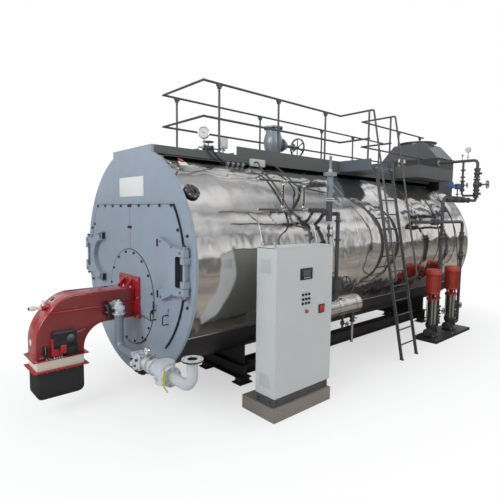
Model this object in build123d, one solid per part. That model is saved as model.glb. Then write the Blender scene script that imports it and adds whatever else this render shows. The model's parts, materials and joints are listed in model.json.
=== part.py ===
from build123d import *
import os
from math import cos, radians, sin, sqrt, tan

# Packaged horizontal fire-tube steam boiler with burner, gas train, control cabinet,
# walkway, ladder, level gauges and feed pumps.
# Millimetres. +X is the side with the cabinet and ladder, +Y runs from the front plate
# to the flue, +Z is up. The origin is under the middle of the front cross-beam, on the floor.

os.makedirs("parts", exist_ok=True)

# Vessel
front_y = -1310.0
axis_z = 1815.0
plate_r = 1550.0
plate_t = 40.0
shell_r = 1490.0
shell_wall = 70.0
shell_len = 7585.0
rear_plate_t = 25.0
seat_gap = 0.3

# Walkway on top of the vessel
deck_half = 560.0
deck_z = 3350.0
deck_t = 8.0
deck_skirt = 105.0
skirt_t = 8.0
toe_h = 125.0
toe_t = 6.0
toe_start = 1400.0

# Smokebox doors on the front plate
door_r = 1345.0
door_t = 25.0
door_low = 815.0
door_high = 2590.0
door_seam = 10.0
hatch_r = 650.0
hatch_z = 1330.0
hatch_t = 30.0
hatch_gap = 12.0

# Hinge arms of the smokebox doors
hinge_x = 1412.0
arm_t = 70.0
arm_tip_x = 820.0
arm_tip_low = 255.0
arm_tip_high = 375.0
ear_low = 180.0
ear_high = 268.0
ear_half = 37.0
web_x = 1268.0
arc_depth = 1137.0
pin_r = 20.0
pin_clear = 0.3
lug_gap = 6.0
bracket_t = 75.0

# Skid
foot_h = 86.0
foot_plate_t = 20.0
foot_w = 190.0
foot_l = 240.0
foot_leg_w = 120.0
beam_h = 200.0
beam_w = 200.0
beam_flange = 15.0
beam_web = 9.0
runner_x = 700.0
cross_half = 937.0
cross_pitch = 5530.0
saddle_half = 880.0
saddle_t = 30.0
saddle_rise = 430.0

# Burner
burner_half = 180.0
burner_flange_half = 297.0
burner_flange_t = 25.0
burner_flange_rise = 285.0
burner_axis_z = 1345.0
arm_top = 1480.0
arm_low = 1080.0
lid_z = 1290.0
elbow_front = 1305.0
elbow_back = 746.0
elbow_low = 737.0
band_h = 125.0
joint_flange_t = 12.0
joint_flange_lip = 42.0
inlet_low = 220.0

# Gas train
gas_x = 300.0
gas_out = 340.0
gas_z = 740.0
gas_r = 57.0
gas_bore_r = 52.0
gas_bend = 110.0
gas_flange_r = 110.0
gas_flange_t = 20.0
gas_flange_pcd = 180.0
gas_bolt_r = 9.0
gas_bolts = 8
gas_inlet_x = 1990.0
gas_inlet_z = 1047.0
gas_elbow = 150.0

# Control cabinet on its concrete block
cab_face_x = 2020.0
cab_start = 800.0
cab_w = 1045.0
cab_d = 335.0
cab_h = 1800.0
cab_wall = 20.0
cab_door_t = 22.0
cab_door_gap = 0.3
plinth_h = 120.0
plinth_inset = 8.0
block_h = 172.0
block_back_x = 1450.0
block_side = 12.0

# Handrails
rail_z = 4308.0
mid_z = 3825.0
tube_r = 16.5
rail_start = 818.0
rail_end = 7180.0
rail_in = 24.0
post_start = 1090.0
post_pitch = 1195.0

# Landing and ladder
jog_front = 3900.0
jog_back = 4665.0
landing_t = 70.0
string_front = 4025.0
string_back = 4540.0
ladder_foot_x = 1900.0
ladder_top_x = 1262.0
ladder_drop = 40.0
string_w = 50.0
string_t = 25.0
rung_r = 13.0
rung_pitch = 250.0
hand_off = 165.0
hand_end_z = 1385.0

# Rear platform
rear_start = 5900.0
rear_x = 1120.0
rear_h = 250.0
rear_t = 60.0

# Flue
flue_front = 7500.0
flue_back = 8400.0
smoke_half = 750.0
smoke_low = 1500.0
smoke_top = 3870.0
smoke_over = 3345.0
hood_half = 400.0
hood_top = 4250.0
collar_r = 385.0
collar_wall = 12.0
collar_h = 60.0
collar_depth = 250.0
flue_flange_r = 465.0
flue_flange_t = 15.0

# Main steam valve
steam_y = 2700.0
steam_pipe_r = 110.0
steam_bore_r = 100.0
steam_flange_r = 170.0
steam_flange_t = 24.0
steam_top_z = 4010.0
steam_length = 600.0
steam_body_r = 150.0
steam_pcd = 295.0
steam_bolts = 12
steam_bolt_r = 11.0
steam_wheel_r = 175.0
steam_wheel_y = 3340.0
steam_wheel_z = 3720.0
steam_hub = 50.0

# Level column and gauges
column_x = 1600.0
column_y = 2285.0
column_r = 45.0
column_low = 2390.0
column_top = 3045.0
header_high = 2910.0
header_low = 2545.0
header_r = 13.0
glass_first = 1318.0
glass_pitch = 406.0

# Sample drum and drain
drum_x = 1580.0
drum_z = 1090.0
drum_r = 150.0
drum_start = 1900.0
drum_end = 3030.0
drain_y = 2500.0
drain_valve_z = 1450.0
drain_wheel_r = 95.0
drain_hub = 40.0
drain_reach = 262.0

# Feed pumps
pump_x = 1640.0
pump_first = 5650.0
pump_pitch = 850.0
motor_r = 150.0
motor_top = 1430.0
sleeve_r = 84.0
base_x0 = 1400.0
base_x1 = 1880.0
base_t = 55.0
base_start = 5380.0
base_end = 7000.0

# Feed pipework
feed_r = 32.0
feed_bend = 90.0
feed_low = 165.0
riser_first = 5900.0
riser_second = 6900.0
header_z = 2830.0
feed_turn = 7560.0
feed_top = 3740.0
inlet_z = 2360.0
inlet_y = 5170.0
feed_valve_z = 3190.0
feed_wheel_r = 90.0
feed_hub = 34.0
feed_reach = 226.0
pump_flange_r = 75.0
pump_flange_t = 18.0
pump_pcd = 110.0
pump_bolts = 4
pump_bolt_r = 7.0
pump_bore_r = 25.0


def behind(distance):
    """Y of a point this far behind the front face of the front plate."""
    return front_y + distance


def block(x0, x1, y0, y1, z0, z1):
    middle = Pos((x0 + x1) / 2, (y0 + y1) / 2, (z0 + z1) / 2)
    return middle * Box(x1 - x0, y1 - y0, z1 - z0)


def rod(start, end, radius):
    line = Vector(*end) - Vector(*start)
    upright = (Align.CENTER, Align.CENTER, Align.MIN)
    return Plane(origin=start, z_dir=line) * Cylinder(radius, line.length, align=upright)


def bent_tube(points, radius, bend):
    path = FilletPolyline(*points, radius=bend)
    return sweep((path ^ 0) * Circle(radius), path=path)


def fuse(*pieces):
    return Part() + list(pieces)


def flange(centre, axis, radius, thickness, bore=0.0, pcd=0.0, holes=0, hole_r=0.0):
    plane = Plane(origin=centre, z_dir=axis)
    face = Sketch() + Circle(radius)
    if bore:
        face -= Circle(bore)
    if holes:
        face -= PolarLocations(pcd / 2, holes, start_angle=180.0 / holes) * Circle(hole_r)
    return extrude(plane * face, thickness)


def handwheel(centre, axis, radius, rim, hub_r, hub_len, spokes):
    plane = Plane(origin=centre, z_dir=axis)
    ring = Cylinder(radius, 2 * rim) - Cylinder(radius - 2 * rim, 2 * rim)
    hub = Cylinder(hub_r, hub_len)
    wheel = ring + hub
    spoke_len = radius - rim - hub_r / 2
    for k in range(spokes):
        spoke = Pos(hub_r / 2 + spoke_len / 2, 0, 0) * Box(spoke_len, 1.4 * rim, 1.2 * rim)
        wheel += Rot(0, 0, 360.0 / spokes * k) * spoke
    return plane * wheel


def h_beam(length):
    """H section along X, standing on z = 0 and centred on x and y."""
    web = Pos(0, 0, beam_h / 2) * Box(length, beam_web, beam_h)
    low = Pos(0, 0, beam_flange / 2) * Box(length, beam_w, beam_flange)
    high = Pos(0, 0, beam_h - beam_flange / 2) * Box(length, beam_w, beam_flange)
    return web + low + high


def keep(name, *pieces):
    solids = []
    for piece in pieces:
        solids += piece.solids()
    export_step(Compound(children=solids), f"parts/{name}.step")


# Front face of the plate: sketches are drawn as (x, z) and grow towards the reader
front_face = Plane(origin=(0, front_y, 0), x_dir=(1, 0, 0), z_dir=(0, -1, 0))


def make_vessel():
    y0 = behind(plate_t)
    y1 = behind(plate_t + shell_len)
    outer = rod((0, y0, axis_z), (0, y1, axis_z), shell_r)
    inner = rod((0, y0, axis_z), (0, y1, axis_z), shell_r - shell_wall)
    keep("shell", outer - inner)

    disc = Pos(0, axis_z) * Circle(plate_r)
    crown = Pos(0, (axis_z + deck_z) / 2) * Rectangle(2 * deck_half, deck_z - axis_z)
    below_deck = Pos(0, deck_z - plate_r) * Rectangle(3 * plate_r, 2 * plate_r)
    keep("front_plate", extrude(front_face * ((disc + crown) & below_deck), -plate_t))

    keep("rear_plate", rod((0, y1, axis_z), (0, y1 + rear_plate_t, axis_z), shell_r))


def make_skid():
    cross = Pos(0, 0, foot_h) * h_beam(2 * cross_half)
    plate = Pos(0, 0, foot_plate_t / 2) * Box(foot_w, foot_l, foot_plate_t)
    leg = Pos(0, 0, (foot_h + foot_plate_t) / 2) * Box(foot_leg_w, foot_l - 60, foot_h - foot_plate_t)
    foot_x = cross_half - foot_w / 2
    for x in (-foot_x, 0, foot_x):
        cross += Pos(x, 0, 0) * (plate + leg)
    runner = Pos(0, cross_pitch / 2, foot_h) * Rot(0, 0, 90) * h_beam(cross_pitch - beam_web)
    runners = [Pos(side * runner_x, 0, 0) * runner for side in (-1, 1)]
    keep("skid_frame", fuse(cross, Pos(0, cross_pitch, 0) * cross, *runners))

    top = foot_h + beam_h
    hollow = Pos(0, axis_z) * Circle(shell_r + seat_gap)
    flat = Pos(0, top + saddle_rise / 2) * Rectangle(2 * saddle_half, saddle_rise)
    web = extrude(Plane.XZ * (flat - hollow), saddle_t / 2, both=True)
    keep("saddles", web, Pos(0, cross_pitch, 0) * web)


def door_leaf(side):
    disc = Pos(0, axis_z) * Circle(door_r)
    height = door_high - door_low
    middle = Pos(side * (door_seam + door_r) / 2, (door_high + door_low) / 2)
    half = middle * Rectangle(door_r, height)
    arch = Pos(0, hatch_z) * Circle(hatch_r + hatch_gap)
    return extrude(front_face * ((disc & half) - arch), door_t)


def hinge_arm(side):
    """Butterfly plate with two lugs on the door and two ears round the pin."""
    slope_x = 1170.0
    outline = Polyline(
        (arm_tip_x, arm_tip_low),
        (arm_tip_x, arm_tip_high),
        (arm_tip_x + 120, arm_tip_high),
        (slope_x, ear_high + 20),
        (hinge_x - ear_half, ear_high),
        (hinge_x + ear_half, ear_high),
        (hinge_x + ear_half, ear_low),
        (web_x + 20, ear_low),
        (web_x, ear_low - 20),
        (web_x, 0),
    )
    inner = ThreePointArc(
        (arm_tip_x, arm_tip_low),
        (arm_tip_x + 0.707 * (arc_depth - arm_tip_x), 0.707 * arm_tip_low),
        (arc_depth, 0),
    )
    close = Line((arc_depth, 0), (web_x, 0))
    quarter = make_face(outline + inner + close)
    whole = quarter + mirror(quarter, Plane.XZ)
    whole = Pos(0, axis_z) * whole
    if side < 0:
        whole = mirror(whole, Plane.YZ)
    arm = extrude(front_face.offset(door_t) * whole, arm_t)
    pocket_h = arm_tip_high - arm_tip_low - 30
    for up in (-1, 1):
        z = axis_z + up * (arm_tip_low + arm_tip_high) / 2
        x = side * (arm_tip_x + 20)
        y = front_y - door_t - arm_t / 2
        arm -= Pos(x, y, z) * Box(60, arm_t - 26, pocket_h)
    y = hinge_line()
    reach = ear_high + 30
    pin = rod((side * hinge_x, y, axis_z - reach), (side * hinge_x, y, axis_z + reach), pin_r)
    return arm + pin


def hinge_line():
    return front_y - door_t - arm_t / 2


def hinge_bracket(side):
    y = hinge_line()
    z_out = ear_low - lug_gap
    lugs = Part()
    for up in (-1, 1):
        z0 = axis_z + min(up * z_out, up * (z_out - bracket_t))
        x0 = side * hinge_x - ear_half
        lugs += block(x0, x0 + 2 * ear_half, y - arm_t / 2, front_y, z0, z0 + bracket_t)
    bore = rod((side * hinge_x, y, axis_z - 300), (side * hinge_x, y, axis_z + 300), pin_r + pin_clear)
    return lugs - bore


def door_handle(x, z0, z1):
    y0 = front_y - door_t
    points = [(x, y0, z0), (x, y0 - 80, z0), (x, y0 - 80, z1), (x, y0, z1)]
    return bent_tube(points, 8, 18)


def make_doors():
    keep("left_door", door_leaf(-1))
    keep("right_door", fuse(door_leaf(1), door_handle(700, 1135, 1255), door_handle(1000, 1135, 1250)))
    keep("left_hinge_arm", hinge_arm(-1))
    keep("right_hinge_arm", hinge_arm(1))
    keep("hinge_brackets", hinge_bracket(-1), hinge_bracket(1))

    hatch = extrude(front_face * (Pos(0, hatch_z) * Circle(hatch_r)), hatch_t)
    keep("furnace_hatch", hatch)


def side_profile(points):
    """Face in the YZ plane at x = 0 from (distance in front of the plate, z) points."""
    drawn = [(front_y - out, z) for out, z in points]
    plane = Plane(origin=(0, 0, 0), x_dir=(0, 1, 0), z_dir=(1, 0, 0))
    return plane * make_face(Polyline(*drawn, close=True))


def make_burner():
    seat = hatch_t
    face = Pos(0, burner_axis_z) * RectangleRounded(2 * burner_flange_half, 2 * burner_flange_rise, 30)
    mounting = extrude(front_face.offset(seat) * face, burner_flange_t)

    start = seat + burner_flange_t
    lower = [
        (start, arm_low),
        (450, arm_low),
        (560, arm_low - 20),
        (650, arm_low - 75),
        (720, arm_low - 165),
        (elbow_back, arm_low - 270),
        (elbow_back, elbow_low),
        (elbow_front, elbow_low),
        (elbow_front, 935),
        (1271, 1107),
        (1205, 1200),
        (1150, lid_z),
        (start, lid_z),
    ]
    duct = extrude(side_profile(lower), burner_half, both=True)

    lid = [(start, lid_z), (1150, lid_z), (1050, 1372), (930, 1455), (870, arm_top), (start, arm_top)]
    keep("burner_lid", extrude(side_profile(lid), burner_half, both=True))

    band_top = elbow_low - joint_flange_t
    band_low = band_top - band_h
    lip = joint_flange_lip
    y0 = front_y - elbow_front
    y1 = front_y - elbow_back
    low = band_low - joint_flange_t
    upper = block(-burner_half - lip, burner_half + lip, y0 - lip, y1 + lip, band_top, elbow_low)
    lower_flange = block(-burner_half - lip, burner_half + lip, y0 - lip, y1 + lip, low, band_low)
    keep("burner_housing", fuse(mounting, duct, upper))
    keep("burner_band", block(-burner_half + 6, burner_half - 6, y0 + 6, y1 - 6, band_low, band_top))
    inlet = block(-burner_half, burner_half, y0, y1, inlet_low, low)
    inlet = fillet(inlet.edges().filter_by(Axis.Z), 40)
    inlet = fillet(inlet.edges().filter_by(Axis.X).group_by(Axis.Z)[0].sort_by(Axis.Y)[-1], 90)
    keep("burner_inlet", fuse(inlet, lower_flange))

    box_y = front_y - 1135
    servo = block(burner_half, burner_half + 95, box_y, box_y + 270, 860, 1040)
    relay = block(burner_half, burner_half + 80, box_y + 130, box_y + 290, 745, 858)
    keep("burner_controls", servo, relay)


def make_gas_train():
    y = front_y - gas_out
    valve_z = 1180.0
    points = [(gas_x, y, valve_z), (gas_x, y, gas_z), (800, y, gas_z)]
    keep("gas_pipe", bent_tube(points, gas_r, gas_bend))

    body = rod((gas_x, y, valve_z), (gas_x, y, valve_z + 70), 80)
    side = block(burner_half, gas_x + 60, y - 60, y + 60, valve_z + 70, valve_z + 190)
    keep("gas_throttle", body + side)

    valve = block(800, 1010, y - 80, y + 80, gas_z - 120, gas_z + 50)
    link = rod((1010, y, gas_z), (1350, y, gas_z), gas_r)
    riser = rod((1150, y, gas_z), (1150, y, 880), 22)
    keep("gas_valve_block", fuse(valve, link, riser))

    filter_body = block(1350, 1550, y - 105, y + 105, gas_z - 105, gas_z + 130)
    filter_body = fillet(filter_body.edges().filter_by(Axis.Z), 60)
    ring = rod((1550, y, gas_z), (1580, y, gas_z), gas_flange_r)
    keep("gas_filter", filter_body + ring)

    turn = gas_inlet_x
    flange_z = gas_inlet_z - gas_flange_t
    points = [(1610, y, gas_z), (turn, y, gas_z), (turn, y, flange_z)]
    elbow = bent_tube(points, gas_r, gas_elbow)
    ring = rod((1580, y, gas_z), (1610, y, gas_z), gas_flange_r)
    top = flange((turn, y, flange_z), (0, 0, 1), gas_flange_r, gas_flange_t)
    bore = rod((turn, y, gas_inlet_z - 60), (turn, y, gas_inlet_z), gas_bore_r)
    holes = PolarLocations(gas_flange_pcd / 2, gas_bolts, start_angle=180.0 / gas_bolts)
    plane = Plane(origin=(turn, y, flange_z), z_dir=(0, 0, 1))
    drilled = extrude(plane * (Sketch() + holes * Circle(gas_bolt_r)), gas_flange_t)
    keep("gas_inlet", elbow + ring + top - bore - drilled)


def make_cabinet():
    x1 = cab_face_x - cab_door_t - cab_door_gap
    x0 = cab_face_x - cab_d
    y0 = behind(cab_start)
    y1 = y0 + cab_w
    z0 = block_h + plinth_h
    z1 = z0 + cab_h
    outer = block(x0, x1, y0, y1, z0, z1)
    inside = block(x0 + cab_wall, x1 + 1, y0 + cab_wall, y1 - cab_wall, z0 + cab_wall, z1 - cab_wall)
    keep("cabinet_body", outer - inside)

    door = block(x1 + cab_door_gap, cab_face_x, y0, y1, z0, z1)
    screen = block(cab_face_x, cab_face_x + 6, y0 + 400, y0 + 635, z0 + 1395, z0 + 1545)
    knob = rod((cab_face_x, y0 + 840, z0 + 995), (cab_face_x + 35, y0 + 840, z0 + 995), 45)
    keep("cabinet_door", door)
    keep("cabinet_controls", screen, knob)

    plate_x = x0 + cab_wall
    plate = block(plate_x, plate_x + 30, y0 + 80, y1 - 80, z0 + 80, z1 - 80)
    keep("cabinet_mounting_plate", plate)

    inset = plinth_inset
    keep("cabinet_plinth", block(x0 + inset, x1 - inset, y0 + inset, y1 - inset, block_h, z0))
    keep("cabinet_block", block(block_back_x, cab_face_x + block_side, y0 - block_side, y1 + block_side, 0, block_h))


def make_walkway():
    y0 = behind(plate_t)
    y1 = behind(flue_front)
    plate = block(-deck_half, deck_half, y0, y1, deck_z - deck_t, deck_z)
    low = deck_z - deck_skirt
    skirts = Part()
    for side in (-1, 1):
        x = side * (deck_half - skirt_t / 2)
        skirts += block(x - skirt_t / 2, x + skirt_t / 2, y0, y1, low, deck_z - deck_t)

    start = behind(toe_start)
    toe = toe_t
    near = block(deck_half - toe, deck_half, start, behind(jog_front), deck_z, deck_z + toe_h)
    near_rear = block(deck_half - toe, deck_half, behind(jog_back), behind(rear_start), deck_z, deck_z + toe_h)
    far = block(-deck_half, -deck_half + toe, start, y1, deck_z, deck_z + toe_h)
    keep("walkway", fuse(plate, skirts, near, near_rear, far))

    ya = behind(jog_front)
    yb = behind(jog_back)
    edge = landing_x()
    floor = block(deck_half, edge, ya, yb, deck_z - landing_t, deck_z)
    guard = block(deck_half, edge, ya, ya + toe, deck_z, deck_z + toe_h)
    guard += block(deck_half, edge, yb - toe, yb, deck_z, deck_z + toe_h)
    keep("landing", floor + guard)

    ya = behind(rear_start)
    high = deck_z - rear_t + rear_h
    rear = block(deck_half, rear_x, ya, y1, deck_z - rear_t, deck_z)
    rear += block(deck_half, rear_x, ya, ya + toe, deck_z, high)
    rear += block(rear_x - toe, rear_x, ya, y1, deck_z, high)
    keep("rear_platform", rear)


def rail_panel(start, end, posts):
    """Top rail and knee rail between two points, with posts down to the deck."""
    panel = Part()
    for z in (rail_z, mid_z):
        panel += rod((*start, z), (*end, z), tube_r)
    for x, y in posts:
        panel += rod((x, y, deck_z), (x, y, rail_z), tube_r)
    return panel


def ladder_x(z):
    """Middle of the ladder's stringers at a height."""
    return ladder_foot_x + (ladder_top_x - ladder_foot_x) * z / (deck_z - ladder_drop)


def landing_x():
    """Edge of the landing, against the heads of the stringers."""
    return ladder_x(deck_z - ladder_drop) - string_w / 2


def rail_corner_x():
    """Where the landing's rails turn down beside the ladder."""
    return ladder_x(rail_z) + hand_off


def make_handrails():
    x = deck_half - rail_in
    y0 = behind(rail_start)
    ya = behind(jog_front + rail_in)
    yb = behind(jog_back - rail_in)
    y2 = behind(rail_end)
    near_posts = [(x, behind(post_start + k * post_pitch)) for k in range(3)]
    rear_posts = [(x, behind(d)) for d in (6040.0, 7000.0)]
    front = rail_panel((x, y0 + tube_r), (x, ya - tube_r), near_posts)
    keep("near_rail", front, rail_panel((x, yb + tube_r), (x, y2), rear_posts))

    far_posts = [(-x, behind(d)) for d in (1060.0, 2880.0, 4710.0, 5866.0, 7000.0)]
    keep("far_rail", rail_panel((-x, y0 + tube_r), (-x, y2), far_posts))
    keep("front_rail", rail_panel((-x - tube_r, y0), (x + tube_r, y0), []))

    post_x = landing_x() - 90
    sides = [rail_panel((x - tube_r, y), (rail_corner_x() - 60, y), [(post_x, y)]) for y in (ya, yb)]
    keep("landing_rails", *sides)


def make_ladder():
    top_z = deck_z - ladder_drop
    frame = Part()
    half = string_w / 2
    for d in (string_front, string_back):
        plane = Plane(origin=(0, behind(d), 0), x_dir=(1, 0, 0), z_dir=(0, -1, 0))
        outline = Polyline(
            (ladder_foot_x - half, 0),
            (ladder_foot_x + half, 0),
            (ladder_top_x + half, top_z),
            (ladder_top_x - half, top_z),
            close=True,
        )
        frame += extrude(plane * make_face(outline), string_t / 2, both=True)
    for k in range(1, int(top_z / rung_pitch) + 1):
        z = k * rung_pitch
        x = ladder_x(z)
        frame += rod((x, behind(string_front), z), (x, behind(string_back), z), rung_r)
    keep("ladder", frame)

    tubes = []
    corner = rail_corner_x()
    low_x = ladder_x(hand_end_z)
    for d, jog, side in ((string_front, jog_front + rail_in, -1), (string_back, jog_back - rail_in, 1)):
        y = behind(jog)
        seat_y = behind(d) + side * (string_t / 2 + seat_gap)
        points = [
            (corner - 60, y, rail_z),
            (corner, y, rail_z),
            (low_x + hand_off, y, hand_end_z),
            (low_x, y, hand_end_z - 60),
            (low_x, seat_y, hand_end_z - 60),
        ]
        tubes.append(bent_tube(points, tube_r, [40, 60, 40]))
    keep("ladder_handrails", *tubes)


def make_flue():
    ya = behind(flue_front)
    yb = behind(flue_back)
    rear = behind(plate_t + shell_len + rear_plate_t)
    low = block(-smoke_half, smoke_half, rear, yb, smoke_low, smoke_over)
    high = block(-smoke_half, smoke_half, ya, yb, smoke_over, smoke_top)
    keep("rear_smokebox", low + high)

    middle = Pos(0, (ya + yb) / 2, 0)
    length = yb - ya
    base = middle * Pos(0, 0, smoke_top) * Rectangle(2 * smoke_half, length)
    top = middle * Pos(0, 0, hood_top) * Rectangle(2 * hood_half, length)
    hood = loft([base, top])

    y = (ya + yb) / 2
    top_z = hood_top + collar_h
    tube = rod((0, y, hood_top - 5), (0, y, top_z), collar_r + collar_wall)
    ring = rod((0, y, top_z), (0, y, top_z + flue_flange_t), flue_flange_r)
    bore = rod((0, y, hood_top - collar_depth), (0, y, top_z + flue_flange_t), collar_r)
    keep("flue_hood", fuse(hood, tube, ring) - bore)


def make_steam_valve():
    y = behind(steam_y)
    low = steam_top_z - steam_length
    neck = rod((0, y, deck_z), (0, y, steam_top_z - steam_flange_t), steam_pipe_r)
    body = Pos(0, y, steam_wheel_z - 20) * Sphere(steam_body_r)
    bottom = rod((0, y, low), (0, y, low + steam_flange_t), steam_flange_r)
    top = rod((0, y, steam_top_z - steam_flange_t), (0, y, steam_top_z), steam_flange_r)
    bonnet = rod((0, y, steam_wheel_z), (0, y + 300, steam_wheel_z), 75)
    cover = rod((0, y + 190, steam_wheel_z), (0, y + 220, steam_wheel_z), 115)
    stem_end = behind(steam_wheel_y) - steam_hub / 2 - seat_gap
    stem = rod((0, y, steam_wheel_z), (0, stem_end, steam_wheel_z), 16)
    bore = rod((0, y, steam_top_z - 120), (0, y, steam_top_z), steam_bore_r)
    holes = PolarLocations(steam_pcd / 2, steam_bolts, start_angle=180.0 / steam_bolts)
    plane = Plane(origin=(0, y, steam_top_z - steam_flange_t), z_dir=(0, 0, 1))
    drilled = extrude(plane * (Sketch() + holes * Circle(steam_bolt_r)), steam_flange_t)
    keep("steam_valve", fuse(neck, body, bottom, top, bonnet, cover, stem) - bore - drilled)

    wheel_y = behind(steam_wheel_y)
    wheel = handwheel((0, wheel_y, steam_wheel_z), (0, 1, 0), steam_wheel_r, 11, 26, steam_hub, 6)
    keep("steam_valve_wheel", wheel)

    tray = block(140, 510, behind(760), behind(1390), deck_z, deck_z + 12)
    gauge_y = behind(900)
    stem = rod((430, gauge_y, deck_z + 12), (430, gauge_y, deck_z + 200), 9)
    dial = rod((430, gauge_y - 20, deck_z + 270), (430, gauge_y + 20, deck_z + 270), 80)
    box_y = behind(1180)
    switch = block(390, 470, box_y, box_y + 130, deck_z + 12, deck_z + 240)
    keep("instrument_tray", tray)
    keep("pressure_instruments", stem + dial, switch)

    valves = []
    for d in (6700.0, 6950.0):
        yv = behind(d)
        base = rod((200, yv, deck_z), (200, yv, deck_z + 190), 55)
        spring = rod((200, yv, deck_z + 190), (200, yv, deck_z + 480), 38)
        outlet = rod((200, yv, deck_z + 130), (330, yv, deck_z + 130), 45)
        valves.append(fuse(base, spring, outlet))
    keep("safety_valves", *valves)


def clear_of_shell(piece):
    """The piece coped to sit on the round of the shell."""
    y0 = behind(plate_t)
    return piece - rod((0, y0, axis_z), (0, y0 + shell_len, axis_z), shell_r + seat_gap)


def make_level_gauges():
    x = column_x
    y = behind(column_y)
    body = rod((x, y, column_low), (x, y, column_top), column_r)
    cap = rod((x, y, column_top), (x, y, column_top + 45), 95)
    head = rod((x, y, column_top + 45), (x, y, column_top + 280), 20)
    drain = rod((x, y, 2075), (x, y, column_low), 14)
    stubs = [clear_of_shell(rod((x - 700, y, z), (x, y, z), 24)) for z in (header_high, header_low)]
    keep("level_column", fuse(body, cap, head, drain, *stubs))

    y0 = behind(glass_first - 440)
    round_column = rod((x, y, column_low), (x, y, column_top), column_r + seat_gap)
    headers = []
    for z, up in ((header_high, -1), (header_low, 1)):
        header = rod((x, y0, z), (x, y, z), header_r)
        for k in range(2):
            yg = behind(glass_first + k * glass_pitch)
            header += rod((x, yg, z), (x, yg, z + up * 55), 22)
        headers.append(header - round_column)
    keep("gauge_headers", *headers)
    glasses = []
    for k in range(2):
        yg = behind(glass_first + k * glass_pitch)
        glasses.append(rod((x, yg, header_low + 55), (x, yg, header_high - 55), 10))
    keep("gauge_glasses", *glasses)


def make_drain():
    x = column_x
    y = behind(drain_y)
    stub = clear_of_shell(rod((x - 700, y, 2500), (x, y, 2500), 30))
    pipe = rod((x, y, drain_valve_z + 60), (x, y, 2500), 30) + Pos(x, y, 2500) * Sphere(30)
    valve = rod((x, y, drain_valve_z - 80), (x, y, drain_valve_z + 80), 75)
    stem_end = y + drain_reach - drain_hub / 2 - seat_gap
    bonnet = rod((x, y, drain_valve_z), (x, stem_end, drain_valve_z), 16)
    drum = rod((drum_x, behind(drum_start), drum_z), (drum_x, behind(drum_end), drum_z), drum_r)
    spout = rod((x, y, drum_z), (x, y, drain_valve_z - 60), 40)
    spout -= rod((drum_x, behind(drum_start), drum_z), (drum_x, behind(drum_end), drum_z), drum_r + seat_gap)
    keep("drain_line", fuse(stub, pipe, valve, bonnet, spout))
    wheel = handwheel((x, y + drain_reach, drain_valve_z), (0, 1, 0), drain_wheel_r, 8, 18, drain_hub, 5)
    keep("drain_valve_wheel", wheel)

    leg_y = behind(drum_end - 50)
    leg = rod((drum_x, leg_y, 460), (drum_x, leg_y, drum_z), 22)
    arms = []
    for d in (drum_start + 250, drum_end - 250):
        arms.append(clear_of_shell(block(1000, drum_x, behind(d) - 20, behind(d) + 20, drum_z - 30, drum_z + 30)))
    keep("sample_drum", fuse(drum, leg, *arms))


def make_feed_system():
    keep("pump_base", block(base_x0, base_x1, behind(base_start), behind(base_end), 0, base_t))
    motors = []
    bodies = []
    for k in range(2):
        y = behind(pump_first + k * pump_pitch)
        foot = block(pump_x - 120, pump_x + 120, y - 110, y + 110, base_t, base_t + 40)
        bowl = rod((pump_x, y, base_t + 40), (pump_x, y, 260), 95)
        sleeve = rod((pump_x, y, 260), (pump_x, y, 730), sleeve_r)
        lantern = rod((pump_x, y, 730), (pump_x, y, 930), 100)
        inlet = rod((pump_x, y, feed_low), (pump_x, y - 200 + pump_flange_t, feed_low), feed_r)
        face = (pump_x, y - 200 + pump_flange_t, feed_low)
        ring = flange(face, (0, -1, 0), pump_flange_r, pump_flange_t, 0, pump_pcd, pump_bolts, pump_bolt_r)
        bore = rod((pump_x, y - 200, feed_low), (pump_x, y - 140, feed_low), pump_bore_r)
        bodies.append(fuse(foot, bowl, sleeve, lantern, inlet, ring) - bore)
        motor = rod((pump_x, y, 930), (pump_x, y, motor_top - 100), motor_r - 15)
        cap = rod((pump_x, y, motor_top - 100), (pump_x, y, motor_top), motor_r)
        box = block(pump_x - 60, pump_x + 60, y + 100, y + 200, 990, 1130)
        motors.append(fuse(motor, cap, box))
    keep("pump_bodies", *bodies)
    keep("pump_motors", *motors)

    x = pump_x
    first = behind(riser_first)
    turn = behind(feed_turn)
    main_points = [
        (x, behind(pump_first) + 95.3, feed_low),
        (x, first, feed_low),
        (x, first, header_z),
        (x, turn, header_z),
        (x, turn, feed_top),
        (smoke_half, turn, feed_top),
    ]
    main = bent_tube(main_points, feed_r, [60] + 3 * [feed_bend])
    valve = rod((x, turn, feed_valve_z - 70), (x, turn, feed_valve_z + 70), 60)
    stem_end = x + feed_reach - feed_hub / 2 - seat_gap
    stem = rod((x, turn, feed_valve_z), (stem_end, turn, feed_valve_z), 12)
    second = behind(riser_second)
    side_points = [
        (x, behind(pump_first + pump_pitch) + 95.3, feed_low),
        (x, second, feed_low),
        (x, second, inlet_z),
        (x, behind(inlet_y), inlet_z),
        (x - 500, behind(inlet_y), inlet_z),
    ]
    side = bent_tube(side_points, feed_r, [60] + 2 * [feed_bend])
    keep("feed_pipe", fuse(main, valve, stem), clear_of_shell(side))
    centre = (x + feed_reach, turn, feed_valve_z)
    keep("feed_valve_wheel", handwheel(centre, (1, 0, 0), feed_wheel_r, 8, 16, feed_hub, 5))


make_vessel()
make_skid()
make_doors()
make_burner()
make_gas_train()
make_cabinet()
make_walkway()
make_handrails()
make_ladder()
make_flue()
make_steam_valve()
make_level_gauges()
make_drain()
make_feed_system()
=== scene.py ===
import json
from math import asin, atan2, cos, degrees, hypot, pi, radians, sin, sqrt

import bmesh
import bpy
from mathutils import Matrix, Vector


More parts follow.
